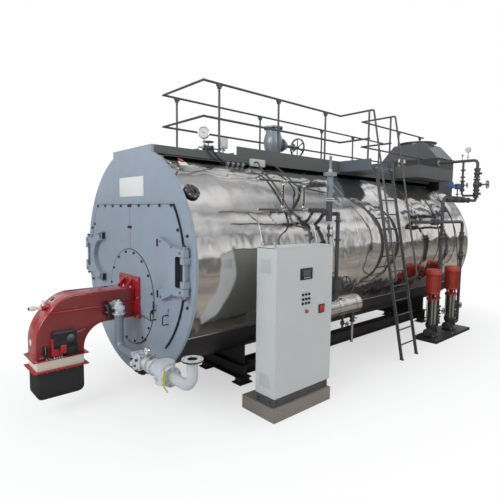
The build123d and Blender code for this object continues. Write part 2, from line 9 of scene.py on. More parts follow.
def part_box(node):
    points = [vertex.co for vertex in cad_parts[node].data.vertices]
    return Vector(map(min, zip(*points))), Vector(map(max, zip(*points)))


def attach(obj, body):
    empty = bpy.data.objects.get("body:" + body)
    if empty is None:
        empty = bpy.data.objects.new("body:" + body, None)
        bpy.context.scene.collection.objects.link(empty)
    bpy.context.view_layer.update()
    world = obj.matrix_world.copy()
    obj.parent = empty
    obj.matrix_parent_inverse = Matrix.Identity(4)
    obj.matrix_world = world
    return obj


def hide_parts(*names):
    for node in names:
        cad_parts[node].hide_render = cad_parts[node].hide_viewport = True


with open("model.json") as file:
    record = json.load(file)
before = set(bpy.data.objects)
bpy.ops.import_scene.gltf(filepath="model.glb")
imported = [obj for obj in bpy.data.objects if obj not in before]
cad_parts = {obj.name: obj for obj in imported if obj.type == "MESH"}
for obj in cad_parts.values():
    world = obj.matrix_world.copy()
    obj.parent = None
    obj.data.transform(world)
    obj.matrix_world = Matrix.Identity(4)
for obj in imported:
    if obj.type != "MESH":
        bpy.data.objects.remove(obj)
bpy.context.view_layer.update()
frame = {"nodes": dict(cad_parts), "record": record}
nodes = frame["nodes"]

# Places on the boiler, in metres, read from the frame
shell_low, shell_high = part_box("shell")
door_low, door_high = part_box("left_door")
hatch_low, hatch_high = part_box("furnace_hatch")
deck_low, deck_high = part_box("walkway")
cabinet_low, cabinet_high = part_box("cabinet_body")
cabinet_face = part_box("cabinet_door")[1].x
front_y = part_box("front_plate")[0].y
shell_r = shell_high.x
axis_z = (shell_low.z + shell_high.z) / 2
door_face = door_low.y
deck_z = deck_low.z + 0.105
joint_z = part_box("burner_inlet")[1].z
hatch_face = hatch_low.y
hatch_z = (hatch_low.z + hatch_high.z) / 2
hatch_r = hatch_high.x
gas_joint_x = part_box("gas_inlet")[0].x
gas_mouth = Vector((1.990, -1.650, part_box("gas_inlet")[1].z))
column_x = 1.600
drum_x = 1.580
feed_x = 1.640


def behind(distance):
    """Y of a point this far behind the front face of the front plate."""
    return front_y + distance


def out(distance):
    """Y of a point this far in front of the front plate."""
    return front_y - distance


def in_front(points):
    """Outline in Y and Z, from distances in front of the front plate and heights."""
    return [(out(d), z) for d, z in points]


gas_y = out(0.340)
drum_leg_y = behind(2.980)
pump_places = (behind(5.650), behind(6.500))
feed_inlet_y = behind(5.590)
feed_turn_y = behind(7.560)


def on_shell(angle, y, lift=0.0):
    """Point on the shell at an angle in degrees above the horizontal, on the cabinet's side."""
    reach = shell_r + lift
    return Vector((reach * cos(radians(angle)), y, axis_z + reach * sin(radians(angle))))


def outward(angle):
    """Direction away from the shell at an angle."""
    return Vector((cos(radians(angle)), 0, sin(radians(angle))))


# Shader arithmetic


class Signal:
    """The output of a shader node: arithmetic on it adds Math nodes."""

    def __init__(self, finish, socket):
        self.finish = finish
        self.socket = socket

    def math(self, operation, *values):
        return self.finish.node(
            "ShaderNodeMath", {"operation": operation}, dict(enumerate(values))
        )

    def floor(self):
        return self.math("FLOOR", self)

    def absolute(self):
        return self.math("ABSOLUTE", self)

    def sine(self):
        return self.math("SINE", self)

    def at_least(self, low):
        return self.math("MAXIMUM", self, low)

    def at_most(self, high):
        return self.math("MINIMUM", self, high)

    def __add__(self, other):
        return self.math("ADD", self, other)

    def __sub__(self, other):
        return self.math("SUBTRACT", self, other)

    def __mul__(self, other):
        return self.math("MULTIPLY", self, other)

    def __truediv__(self, other):
        return self.math("DIVIDE", self, other)

    def __rsub__(self, other):
        return self.math("SUBTRACT", other, self)

    def __lt__(self, other):
        return self.math("LESS_THAN", self, other)

    def __gt__(self, other):
        return self.math("GREATER_THAN", self, other)

    __radd__ = __add__
    __rmul__ = __mul__


def linear(red, green, blue):
    """Linear colour of an sRGB one given as 0 to 255."""
    parts = [v / 255 for v in (red, green, blue)]
    return tuple(
        v / 12.92 if v <= 0.04045 else ((v + 0.055) / 1.055) ** 2.4 for v in parts
    ) + (1.0,)


def toned(colour, factor):
    """A colour made lighter or darker."""
    return tuple(min(1.0, v * factor) for v in colour[:3]) + (1.0,)


class Finish:
    """A material, and the nodes that vary it over the surface."""

    def __init__(self, name, colour, roughness, metallic=0.0, coat=0.0, **constants):
        self.material = bpy.data.materials.new(name)
        self.material.use_nodes = True
        self.nodes = self.material.node_tree.nodes
        self.links = self.material.node_tree.links
        self.shader = self.nodes["Principled BSDF"]
        self.colour = colour
        self.set("Base Color", colour)
        self.set("Roughness", roughness)
        self.set("Metallic", metallic)
        self.set("Coat Weight", coat)
        for key, value in constants.items():
            self.set(key.replace("_", " ").title().replace("Ior", "IOR"), value)
        self.place = self.node("ShaderNodeTexCoord", output="Object")

    def node(self, kind, settings=None, sockets=None, output=0):
        made = self.nodes.new(kind)
        for key, value in (settings or {}).items():
            if key == "stops":
                ramp = made.color_ramp
                for k, (position, tone) in enumerate(value):
                    stop = ramp.elements[k] if k < 2 else ramp.elements.new(position)
                    stop.position = position
                    stop.color = (tone, tone, tone, 1.0)
            else:
                setattr(made, key, value)
        for key, value in (sockets or {}).items():
            self.plug(made.inputs[key], value)
        return Signal(self, made.outputs[output])

    def plug(self, socket, value):
        if isinstance(value, Signal):
            self.links.new(value.socket, socket)
        else:
            socket.default_value = value

    def set(self, socket, value):
        self.plug(self.shader.inputs[socket], value)

    def axes(self):
        """X, Y and Z of the surface in the boiler's frame."""
        split = self.node("ShaderNodeSeparateXYZ", sockets={0: self.place})
        made = split.socket.node
        return [Signal(self, made.outputs[k]) for k in range(3)]

    def stretched(self, x, y, z):
        sockets = {0: self.place, 1: (x, y, z)}
        return self.node("ShaderNodeVectorMath", {"operation": "MULTIPLY"}, sockets)

    def noise(self, scale, detail=3.0, rough=0.5, place=None):
        sockets = {
            "Vector": place or self.place, "Scale": scale, "Detail": detail, "Roughness": rough
        }
        return self.node("ShaderNodeTexNoise", {}, sockets)

    def ramp(self, value, *stops):
        return self.node("ShaderNodeValToRGB", {"stops": stops}, {"Fac": value})

    def mixed(self, factor, first, second):
        return self.node(
            "ShaderNodeMix", {"data_type": "RGBA"}, {0: factor, 6: first, 7: second}, 2
        )

    def bump(self, height, strength, distance, under=None):
        sockets = {"Height": height, "Strength": strength, "Distance": distance}
        if under:
            sockets["Normal"] = under
        return self.node("ShaderNodeBump", {}, sockets)


# Finishes

finishes = {}


def paint(slot, colour, roughness, coat=0.0, peel=0.12, grime=0.10, grime_tone=0.72, metallic=0.0):
    """Sprayed paint: slow changes of tone, orange peel, dust in patches and small scuffs."""
    finish = Finish(slot, colour, roughness, metallic, coat, coat_roughness=0.12)
    cloudy = finish.noise(1.3, 4.0)
    fine = finish.noise(38.0, 3.0, 0.6)
    patches = finish.ramp(finish.noise(4.5, 6.0, 0.65), (0.48, 0.0), (0.78, 1.0))
    tone = finish.mixed(cloudy, toned(colour, 0.93), toned(colour, 1.07))
    dull = finish.mixed(patches * grime, tone, toned(colour, grime_tone))
    finish.tone = finish.mixed(fine * 0.12, dull, toned(colour, 1.12))
    finish.set("Base Color", finish.tone)
    finish.set("Roughness", roughness - 0.05 + cloudy * 0.08 + patches * 0.10)
    finish.set("Normal", finish.bump(finish.noise(260.0, 2.0), peel, 0.0012))
    finishes[slot] = finish.material
    return finish


def bright_metal(slot, colour, roughness, streaks, grain=0.05):
    """Bare metal with fine brush lines along one direction."""
    finish = Finish(slot, colour, roughness, 1.0)
    lines = finish.noise(6.0, 4.0, 0.6, finish.stretched(*streaks))
    cloudy = finish.noise(2.2, 3.0)
    finish.set(
        "Base Color",
        finish.mixed(cloudy * 0.5 + lines * 0.5, toned(colour, 0.84), toned(colour, 1.12))
    )
    finish.set("Roughness", roughness + lines * 0.12 - 0.05)
    finish.set("Normal", finish.bump(lines, grain, 0.0008))
    finishes[slot] = finish.material
    return finish


def polished_cladding():
    """Mirror sheets round the shell, a little wavy, dark and dull below their lowest seam."""
    sheet = linear(208, 206, 204)
    finish = Finish("cladding", sheet, 0.07, 1.0)
    x, y, z = finish.axes()
    number = ((y - front_y) / sheet_pitch).floor()
    each = finish.node("ShaderNodeTexWhiteNoise", {"noise_dimensions": "1D"}, {"W": number})
    smears = finish.noise(3.0, 5.0, 0.6, finish.stretched(0.6, 2.4, 0.6))
    waves = finish.noise(1.2, 1.0, 0.4, finish.stretched(1.0, 1.6, 1.0))
    dents = finish.noise(4.2, 1.0, 0.4, finish.stretched(1.0, 1.3, 1.0))
    lined = finish.noise(9.0, 3.0, 0.6, finish.stretched(0.4, 14.0, 0.4))
    tone = finish.mixed(each * 0.6 + smears * 0.4, toned(sheet, 0.86), toned(sheet, 1.10))
    bare = ((z > cladding_seam_z) + (x > 1.36)).at_most(1.0)
    dark = finish.mixed(smears, linear(34, 33, 34), linear(54, 52, 52))
    finish.set("Base Color", finish.mixed(bare, dark, tone))
    finish.set("Metallic", bare * 1.0)
    finish.set("Roughness", 0.30 - bare * 0.22 + lined * 0.05)
    rolled = finish.bump(waves + dents * 0.16, 0.75, 0.045)
    finish.set("Normal", finish.bump(lined, 0.04, 0.0008, rolled))
    finishes["cladding"] = finish.material


def concrete():
    """Cast block with stains and small air holes."""
    grey = linear(126, 118, 110)
    finish = Finish("concrete", grey, 0.9)
    sand = finish.noise(90.0, 5.0, 0.7)
    stains = finish.noise(3.0, 5.0, 0.6)
    holes = finish.ramp(finish.noise(32.0, 2.0), (0.30, 1.0), (0.38, 0.0))
    tone = finish.mixed(stains, toned(grey, 0.78), toned(grey, 1.22))
    tone = finish.mixed(sand * 0.5, tone, toned(grey, 1.35))
    finish.set("Base Color", finish.mixed(holes * 0.8, tone, toned(grey, 0.55)))
    finish.set("Normal", finish.bump(sand - holes * 2.0, 0.5, 0.003))
    finishes["concrete"] = finish.material


def clear_glass(slot, colour, roughness=0.03, transmission=1.0):
    """Glass or a clear cover, a little uneven."""
    finish = Finish(slot, colour, roughness, transmission_weight=transmission, ior=1.46)
    finish.set("Roughness", roughness + finish.noise(5.0) * 0.03)
    finishes[slot] = finish.material
    return finish


# Widths of the cladding sheets and the height of their lowest seam
sheet_pitch = 1.09
cladding_seam_z = 0.98


def make_finishes():
    """A finish for each material slot of the record, and two for small pieces."""
    polished_cladding()
    concrete()
    plate = paint(
        "plate_paint", linear(134, 146, 158), 0.36, coat=0.3, grime=0.16, grime_tone=0.55
    )
    x, y, z = plate.axes()
    handles = (y < door_face - 0.003) * (z > 1.04) * (z < 1.36) * (x > 0.62) * (x < 1.13)
    painted = plate.mixed(handles, plate.tone, linear(22, 22, 24))
    # Painted shade: the walls of the right hinge arm's opening and the door beneath it are
    # darkened, for the dark gap seen through it
    arm_gap_shade = (
        (x > 1.20) * (x < 1.372) * ((z - axis_z).absolute() < 0.25) * (y > door_face - 0.068)
        * (y < door_face + 0.001)
    )
    plate.set("Base Color", plate.mixed(arm_gap_shade, painted, linear(50, 54, 58)))
    paint("frame_paint", linear(46, 45, 46), 0.48, grime=0.35, grime_tone=1.9)
    red = linear(158, 22, 32)
    shade = paint("burner_red", red, 0.22, coat=0.7, peel=0.05, grime=0.16, grime_tone=0.5)
    x, y, z = shade.axes()
    # Painted shade: the burner duct's side face toward +X is darkened toward brown-red, for the
    # weaker light falling on it
    shaded_flank = (x > 0.176) * (x < 0.189) * (y < out(0.08))
    shade.set("Base Color", shade.mixed(shaded_flank * 0.6, shade.tone, linear(86, 40, 38)))
    paint("burner_cream", linear(214, 206, 190), 0.6, grime=0.25)
    inlet = paint("burner_black", linear(40, 39, 39), 0.42, grime=0.3, grime_tone=1.7)
    x, y, z = inlet.axes()
    inlet.set(
        "Base Color", inlet.mixed((z > joint_z - 0.0125) * (z < joint_z + 0.001), inlet.tone, red)
    )
    paint("instrument_grey", linear(206, 207, 203), 0.42)
    gas = paint("gas_paint", linear(112, 122, 132), 0.36, coat=0.15, grime=0.2)
    x, y, z = gas.axes()
    cast = gas.mixed(x > gas_joint_x, gas.tone, linear(178, 182, 184))
    # Painted shade: a dark disc over the gas inlet's open mouth; the dark band just below it is
    # the flange joint
    reach = gas.node("ShaderNodeVectorMath", {"operation": "LENGTH"}, {0: gas.node(
        "ShaderNodeCombineXYZ", {}, {0: x - gas_mouth.x, 1: y - gas_mouth.y})}, 1)
    mouth_shade = (reach < 0.052) * (z > gas_mouth.z - 0.03)
    joint = (z > gas_mouth.z - 0.019) * (z < gas_mouth.z - 0.004) * (x > gas_joint_x)
    gas.set("Base Color", gas.mixed((mouth_shade + joint).at_most(1.0), cast, linear(24, 24, 26)))
    paint("gas_alloy", linear(184, 189, 192), 0.40, grime=0.35, grime_tone=0.55)
    paint("cabinet_paint", linear(186, 189, 188), 0.46, peel=0.2, grime=0.05)
    paint("control_black", linear(26, 27, 29), 0.35)
    paint("plinth_paint", linear(74, 74, 76), 0.5, grime=0.3, grime_tone=1.5)
    deck = paint("deck_paint", linear(80, 84, 83), 0.48, grime=0.3, grime_tone=1.25)
    x, y, z = deck.axes()
    lugs = (
        (((x + y) * 110.0).sine() * ((x - y) * 110.0).sine()).at_least(0.0) * (z > deck_z - 0.001)
    )
    deck.set("Normal", deck.bump(lugs, 0.6, 0.003))
    paint("landing_paint", linear(84, 91, 99), 0.45, grime=0.2)
    paint("rail_paint", linear(70, 71, 72), 0.42, grime=0.2)
    paint("hood_paint", linear(80, 82, 82), 0.36, coat=0.2, grime=0.25)
    paint("valve_silver", linear(134, 141, 148), 0.36, grime=0.25, metallic=0.35)
    paint("wheel_paint", linear(70, 72, 76), 0.40, grime=0.2)
    steel = paint("pipe_steel", linear(62, 62, 64), 0.46, grime=0.35, grime_tone=1.6)
    x, y, z = steel.axes()
    column = (x > 1.45) * (z > 2.72) * (y > 0.86) * (y < 1.09)
    steel.set("Base Color", steel.mixed(column, steel.tone, linear(116, 128, 134)))
    paint("pump_orange", linear(170, 56, 42), 0.42, coat=0.2, grime=0.5, grime_tone=0.4)
    paint("actuator_blue", linear(44, 74, 118), 0.4, grime=0.2)
    paint("strap_yellow", linear(186, 176, 62), 0.5, grime=0.2)
    bright_metal("zinc", linear(176, 178, 180), 0.35, (1.0, 1.0, 8.0))
    bright_metal("tray_zinc", linear(128, 130, 130), 0.4, (8.0, 1.0, 1.0))
    bright_metal("valve_brass", linear(206, 202, 192), 0.22, (1.0, 1.0, 9.0))
    bright_metal("pump_steel", linear(182, 180, 174), 0.16, (1.0, 1.0, 10.0))
    clear_glass("gauge_glass", linear(46, 50, 52), transmission=0.4)


def dress_frame():
    """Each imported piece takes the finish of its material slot."""
    by_node = {part["node"]: part["material_slot"] for part in frame["record"]["subparts"]}
    for name, node in nodes.items():
        slot = by_node[name]
        node.data.materials.clear()
        node.data.materials.append(finishes[slot])


# Making and placing pieces


def aim(place, axis=(0, 0, 1), turn=0.0):
    """Matrix that stands a shape drawn along Z at a place, along an axis."""
    direction = Vector(axis).normalized().to_track_quat("Z", "Y").to_matrix().to_4x4()
    return Matrix.Translation(place) @ direction @ Matrix.Rotation(turn, 4, "Z")


def lifted(seat, height):
    """A seat moved along its own Z."""
    return seat @ Matrix.Translation((0, 0, height))


def finish_piece(name, shape, slot, body="root", smooth=35.0, finish=None):
    """Turns a bmesh into a piece with its finish, riding on its body."""
    mesh = bpy.data.meshes.new(name)
    shape.to_mesh(mesh)
    shape.free()
    mesh.polygons.foreach_set("use_smooth", [True] * len(mesh.polygons))
    mesh.set_sharp_from_angle(angle=radians(smooth))
    mesh.materials.append(finishes[finish or slot])
    made = bpy.data.objects.new(name, mesh)
    bpy.context.scene.collection.objects.link(made)
    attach(made, body)
    return made


def rounded(shape, edges, radius, segments=2):
    """Some edges of a shape bevelled."""
    bmesh.ops.bevel(
        shape,
        geom=list(edges),
        offset=radius,
        segments=segments,
        affect="EDGES",
        profile=0.5,
        material=-1,
    )


def block(shape, seat, size, edge=0.0, segments=2):
    """A box of a size about a seat, its edges bevelled."""
    matrix = seat @ Matrix.Diagonal(size).to_4x4()
    made = bmesh.ops.create_cube(shape, size=1.0, matrix=matrix)["verts"]
    if edge:
        rounded(shape, edges_of(made), edge, segments)
    return made


def spun(shape, edges, centre, axis, steps, angle=2 * pi, closed=True):
    """A chain of edges spun about an axis."""
    points = list(dict.fromkeys(vert for edge in edges for vert in edge.verts))
    bmesh.ops.spin(
        shape,
        geom=points + edges,
        cent=centre,
        axis=axis,
        dvec=(0, 0, 0),
        angle=angle,
        steps=steps,
        use_merge=closed,
        use_duplicate=False,
    )


def drum_of(shape, seat, radius, height, segments=24, edge=0.0, top=None):
    """A closed round of some height on a seat, its upper rim bevelled."""
    made = bmesh.ops.create_cone(
        shape,
        cap_ends=True,
        segments=segments,
        radius1=radius,
        radius2=radius if top is None else top,
        depth=height,
        matrix=lifted(seat, height / 2),
    )["verts"]
    if edge:
        rim = [e for e in edges_of(made) if all(on_top(v, seat, height) for v in e.verts)]
        rounded(shape, rim, edge)


def edges_of(verts):
    """All edges that meet some points."""
    return {edge for vert in verts for edge in vert.link_edges}


def bar(shape, start, end, radius, segments=12, tip=None):
    """A straight round bar between two points."""
    reach = Vector(end) - Vector(start)
    drum_of(shape, aim(Vector(start), reach), radius, reach.length, segments, top=tip)


def arc_through(start, middle, end, steps=9):
    """Points after the start on the circle through three points of a plane."""
    (ax, ay), (bx, by), (cx, cy) = start, middle, end
    scale = 2 * (ax * (by - cy) + bx * (cy - ay) + cx * (ay - by))
    squares = ax * ax + ay * ay, bx * bx + by * by, cx * cx + cy * cy
    u = (squares[0] * (by - cy) + squares[1] * (cy - ay) + squares[2] * (ay - by)) / scale
    v = (squares[0] * (cx - bx) + squares[1] * (ax - cx) + squares[2] * (bx - ax)) / scale
    radius = hypot(ax - u, ay - v)
    first = atan2(ay - v, ax - u)
    sweep = (atan2(cy - v, cx - u) - first + pi) % (2 * pi) - pi
    turns = [first + sweep * (k + 1) / steps for k in range(steps)]
    return [(u + radius * cos(t), v + radius * sin(t)) for t in turns]


def prism(shape, outline, x0, x1, edge=0.0):
    """An outline of (Y, Z) points made solid between two X, its rims rounded."""
    near = [shape.verts.new((x0, y, z)) for y, z in outline]
    face = shape.faces.new(near)
    grown = bmesh.ops.extrude_face_region(shape, geom=[face])["geom"]
    far = [part for part in grown if isinstance(part, bmesh.types.BMVert)]
    bmesh.ops.translate(shape, verts=far, vec=(x1 - x0, 0, 0))
    bmesh.ops.recalc_face_normals(shape, faces=list({f for v in near + far for f in v.link_faces}))
    if edge:
        rims = [e for e in edges_of(near + far) if abs(e.verts[0].co.x - e.verts[1].co.x) < 1e-6]
        rounded(shape, rims, edge, 3)


def plate(shape, low, high, axis, corner):
    """A flat plate with its four corners rounded about one axis."""
    size = Vector(high) - Vector(low)
    middle = (Vector(high) + Vector(low)) / 2
    made = block(shape, Matrix.Translation(middle), size)
    upright = [
        e for e in edges_of(made) if abs((e.verts[0].co - e.verts[1].co)[axis]) > 0.5 * size[axis]
    ]
    rounded(shape, upright, corner, 6)


def hoop(shape, seat, radius, rim, steps=32, sides=10):
    """A round rim about the seat's Z."""
    spots = [2 * pi * k / sides for k in range(sides)]
    points = [
        shape.verts.new(seat @ Vector((radius + rim * cos(a), 0, rim * sin(a)))) for a in spots
    ]
    edges = [shape.edges.new((points[k - 1], points[k])) for k in range(sides)]
    spun(shape, edges, seat.translation, seat.to_3x3() @ Vector((0, 0, 1)), steps)


def wheel(shape, seat, radius, rim, spokes=5):
    """A handwheel with a hub and round spokes."""
    hoop(shape, seat, radius - rim, rim)
    drum_of(shape, lifted(seat, -1.6 * rim), 2.4 * rim, 3.2 * rim, 16, 0.3 * rim)
    for k in range(spokes):
        turn = 2 * pi * k / spokes
        tip = seat @ Vector(((radius - rim) * cos(turn), (radius - rim) * sin(turn), 0))
        bar(shape, seat.translation, tip, 0.7 * rim, 8)


def nut(shape, seat, across):
    """A nut with its bolt's end."""
    drum_of(shape, seat, across / sqrt(3), 0.7 * across, 6, edge=0.08 * across)
    drum_of(shape, lifted(seat, 0.7 * across), 0.28 * across, 0.25 * across, 8)


def flange_nuts(shape, centre, axis, radius, count, across, span):
    """Nuts on both faces of a flange joint of this thickness."""
    way = Vector(axis).normalized()
    for side in (-1, 1):
        face = Vector(centre) + way * side * span / 2
        for seat in ring(face, way * side, radius, count, pi / count):
            nut(shape, seat, across)


def flanged_valve(shape, centre, axis, half, pipe_r, flange_r, flange_t, count=4):
    """A small cast valve between two bolted flanges."""
    seat = aim(Vector(centre), axis)
    waist = 1.25 * pipe_r
    outline = [(flange_r, -half), (flange_r, flange_t - half), (waist, flange_t - half + 0.004)]
    outline += [(waist, -0.55 * half), (1.75 * pipe_r, -0.28 * half), (1.9 * pipe_r, 0)]
    outline += [
        (1.75 * pipe_r, 0.28 * half), (waist, 0.55 * half), (waist, half - flange_t - 0.004)
    ]
    outline += [(flange_r, half - flange_t), (flange_r, half)]
    turned(shape, seat, outline, 24)
    way = Vector(axis).normalized()
    for side in (-1, 1):
        middle = Vector(centre) + way * side * (half - flange_t / 2)
        flange_nuts(shape, middle, axis, flange_r - 0.013, count, 0.016, flange_t)


def pipe(name, runs, radius, slot, bend=0.05, body="root"):
    """Round pipes through lists of points, with rounded corners, as one piece."""
    data = bpy.data.curves.new(name, "CURVE")
    data.dimensions = "3D"
    data.bevel_depth = radius
    data.bevel_resolution = 4
    data.resolution_u = 8
    data.use_fill_caps = True
    for run in runs:
        points = [Vector(point) for point in run]
        start, end = points[0], points[-1]
        knots = [(start, start, start + 0.3 * (points[1] - start))]
        for before, corner, after in zip(points, points[1:], points[2:]):
            coming = corner - before
            going = after - corner
            reach = min(bend, 0.45 * coming.length, 0.45 * going.length)
            coming.normalize()
            going.normalize()
            enter = corner - coming * reach
            leave = corner + going * reach
            knots.append((enter, enter - coming * 0.2 * reach, enter + coming * 0.55 * reach))
            knots.append((leave, leave - going * 0.55 * reach, leave + going * 0.2 * reach))
        knots.append((end, end + 0.3 * (points[-2] - end), end))
        spline = data.splines.new("BEZIER")
        spline.bezier_points.add(len(knots) - 1)
        for knot, (place, left, right) in zip(spline.bezier_points, knots):
            knot.handle_left_type = "FREE"
            knot.handle_right_type = "FREE"
            knot.co = place
            knot.handle_left = left
            knot.handle_right = right
    data.materials.append(finishes[slot])
    made = bpy.data.objects.new(name, data)
    bpy.context.scene.collection.objects.link(made)
    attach(made, body)
    return made


def on_top(vert, seat, height):
    """Whether a point is at a height above a seat."""
    return abs((seat.inverted() @ vert.co).z - height) < 1e-6


def slab(shape, low, high, edge=0.0, segments=2):
    """A box between two corners with its edges bevelled."""
    middle = (Vector(high) + Vector(low)) / 2
    block(shape, Matrix.Translation(middle), Vector(high) - Vector(low), edge, segments)


def turned(shape, seat, outline, steps=24, closed=True):
    """A turned form: the outline's (radius, height) points spun round the seat's Z."""
    if closed:
        outline = (
            [(0.0, outline[0][1])] + [spot for spot in outline if spot[0] > 1e-4]
            + [(0.0, outline[-1][1])]
        )
    points = [shape.verts.new(seat @ Vector((r, 0, z))) for r, z in outline]
    edges = [shape.edges.new(pair) for pair in zip(points, points[1:])]
    spun(shape, edges, seat.translation, seat.to_3x3() @ Vector((0, 0, 1)), steps)
    bmesh.ops.remove_doubles(shape, verts=shape.verts, dist=1e-6)
    bmesh.ops.recalc_face_normals(shape, faces=shape.faces)


def bolt(shape, seat, across):
    """Hexagon head on a washer, with the end of its thread."""
    washer = 0.18 * across
    head = 0.62 * across
    drum_of(shape, seat, across * 0.92, washer, 14)
    drum_of(shape, lifted(seat, washer), across / sqrt(3), head, 6, edge=0.08 * across)
    drum_of(shape, lifted(seat, washer + head), across * 0.26, 0.2 * across, 8, top=across * 0.2)


def bolts(name, seats, across, slot="zinc", body="root"):
    """Many bolts as one joined piece."""
    shape = bmesh.new()
    for seat in seats:
        bolt(shape, seat, across)
    return finish_piece(name, shape, slot, body)


def ring(centre, axis, radius, count, start=0.0):
    """Seats round a circle."""
    middle = aim(centre, axis)
    spots = [start + 2 * pi * k / count for k in range(count)]
    return [middle @ Matrix.Translation((radius * cos(a), radius * sin(a), 0)) for a in spots]


def dial_gauge(name, centre, radius, depth, axis=(0, -1, 0), body="root"):
    """Round gauge with a case, white face, plain marks and a pointer."""
    seat = aim(Vector(centre), axis)
    shape = bmesh.new()
    turned(
        shape, seat,
        [
            (radius * 0.96, 0), (radius, 0.08 * depth), (radius, 0.9 * depth),
            (radius * 0.97, depth)
        ],
        40
    )
    hoop(shape, lifted(seat, depth), radius * 0.94, radius * 0.06, 40, 8)
    finish_piece(name + "_case", shape, "pump_steel", body)
    shape = bmesh.new()
    drum_of(shape, lifted(seat, depth), radius * 0.88, 0.0012, 40)
    finish_piece(name + "_face", shape, "instrument_grey", body)
    shape = bmesh.new()
    for k in range(25):
        turn = radians(-135 + 270 * k / 24)
        long = 0.16 if k % 6 == 0 else 0.09
        start = lifted(seat, depth + 0.0016) @ Vector(
            (0.80 * radius * sin(turn), 0.80 * radius * cos(turn), 0)
        )
        end = lifted(seat, depth + 0.0016) @ Vector(
            ((0.80 - long) * radius * sin(turn), (0.80 - long) * radius * cos(turn), 0)
        )
        bar(shape, start, end, 0.014 * radius, 4)
    tip = lifted(seat, depth + 0.003) @ Vector((-0.52 * radius, 0.40 * radius, 0))
    tail = lifted(seat, depth + 0.003) @ Vector((0.16 * radius, -0.12 * radius, 0))
    bar(shape, tail, tip, 0.026 * radius, 6, tip=0.008 * radius)
    drum_of(shape, lifted(seat, depth + 0.001), 0.075 * radius, 0.0035, 16)
    finish_piece(name + "_marks", shape, "control_black", body)


# Front plate, doors and hatch

toward = (0, -1, 0)


def front_fixings():
    """Studs of the doors, plate and hatch; dark blocks in the hinge lug pockets as painted shade;
    caps and bolts of the hinge arms.
    """
    for body, side in (("left_door", -1), ("right_door", 1)):
        studs = [
            aim((side * x, door_face, door_high.z - 0.012), toward)
            for x in (0.03, 0.27, 0.54, 0.81, 1.08)
        ]
        studs += [
            aim((side * x, door_face, z), toward) for x, z in ((0.03, 2.287), (1.223, 2.294))
        ]
        bolts(body + "_studs", studs, 0.024, "frame_paint", body)
    studs = [aim((side * 1.385, front_y, z), toward) for side in (-1, 1) for z in (1.40, 2.23)]
    bolts("plate_studs", studs, 0.024, "frame_paint")
    hatch = ring((0, hatch_face, hatch_z), toward, hatch_r - 0.030, 16, pi / 16)
    bolts("hatch_bolts", hatch, 0.022, "frame_paint")
    hinge_y = (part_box("left_hinge_arm")[0].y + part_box("left_hinge_arm")[1].y) / 2
    arm_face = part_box("left_hinge_arm")[0].y
    for body, side in (("left_door", -1), ("right_door", 1)):
        # Painted shade: dark blocks inside the lug pockets and on the arm's face at their ends,
        # for the shade in the pockets
        shape = bmesh.new()
        for up in (-1, 1):
            middle = axis_z + up * 0.315
            slab(
                shape,
                (side * 0.8185 - 0.002, hinge_y - 0.024, middle - 0.047),
                (side * 0.8185 + 0.002, hinge_y + 0.024, middle + 0.047),
                0.001,
            )
            slab(
                shape,
                (side * 0.866 - 0.022, arm_face - 0.002, middle - 0.047),
                (side * 0.866 + 0.022, arm_face + 0.001, middle + 0.047),
                0.0008,
            )
        finish_piece(body + "_lug_pocket_shades", shape, "control_black", body)
        shape = bmesh.new()
        for up in (-1, 1):
            seat = aim((side * 1.412, hinge_y, axis_z + up * 0.298), (0, 0, up))
            drum_of(shape, seat, 0.027, 0.012, 20, 0.003)
            drum_of(shape, lifted(seat, 0.012), 0.012, 0.012, 12, 0.003)
        finish_piece(body + "_hinge_caps", shape, "frame_paint", body)
        seats = [aim((side * x, arm_face, axis_z + up * z), toward)
                 for up in (-1, 1) for x, z in ((1.372, 0.225), (1.19, 0.285), (0.94, 0.335))]
        bolts(body + "_hinge_bolts", seats, 0.020, "gas_paint", body)


def arc_strip(shape, middle_z, inner, outer, y0, y1, start, end, steps):
    """A strip bent round an axis along Y, from one angle to another."""
    section = [(inner, y0), (outer, y0), (outer, y1), (inner, y1)]
    points = [
        shape.verts.new((r * cos(start), y, middle_z + r * sin(start))) for r, y in section
    ]
    edges = [shape.edges.new((points[k - 1], points[k])) for k in range(4)]
    full = abs(end - start) > 6.28
    spun(shape, edges, (0, 0, middle_z), toward, steps, end - start, full)
    open_edges = [e for e in shape.edges if e.is_boundary]
    if open_edges:
        bmesh.ops.holes_fill(shape, edges=open_edges, sides=4)
    bmesh.ops.recalc_face_normals(shape, faces=shape.faces)


def door_gap_shades():
    """Dark strips in the joints round the doors and the hatch, as painted shade of the gaps."""
    outer = door_low.x * -1
    low = asin((door_low.z - axis_z) / outer)
    high = asin((door_high.z - axis_z) / outer)
    back = front_y + 0.0004
    shape = bmesh.new()
    # Painted shade: dark strips in the gaps round the doors, above them and between them
    arc_strip(shape, axis_z, outer, outer + 0.013, front_y - 0.024, back, low, high, 60)
    arc_strip(shape, axis_z, outer, outer + 0.013, front_y - 0.024, back, pi - high, pi - low, 60)
    slab(shape, (-1.08, front_y - 0.020, door_high.z), (1.08, back, door_high.z + 0.006))
    slab(shape, (-0.005, front_y - 0.022, hatch_z + hatch_r), (0.005, back, door_high.z))
    finish_piece("door_gap_shade", shape, "control_black", smooth=50)
    shape = bmesh.new()
    arc_strip(shape, hatch_z, hatch_r, hatch_r + 0.011, front_y - 0.029, back, 0.0, 2 * pi, 96)
    finish_piece("hatch_gap_shade", shape, "control_black", smooth=50)


def handle_fixings():
    """Pairs of bolts over each pull handle on the right door."""
    seats = []
    for x in (0.70, 1.00):
        for z in (1.285, 1.315):
            seats.append(aim((x + 0.004, door_face, z), toward))
    bolts("handle_bolts", seats, 0.015, "zinc", "right_door")
    shape = bmesh.new()
    bar(shape, (0.29, out(0.048), 1.125), (0.575, out(0.038), 1.098), 0.007, 8)
    drum_of(shape, aim((0.575, out(0.030), 1.098), toward), 0.016, 0.014, 12, 0.002)
    finish_piece("ignition_rod", shape, "zinc")


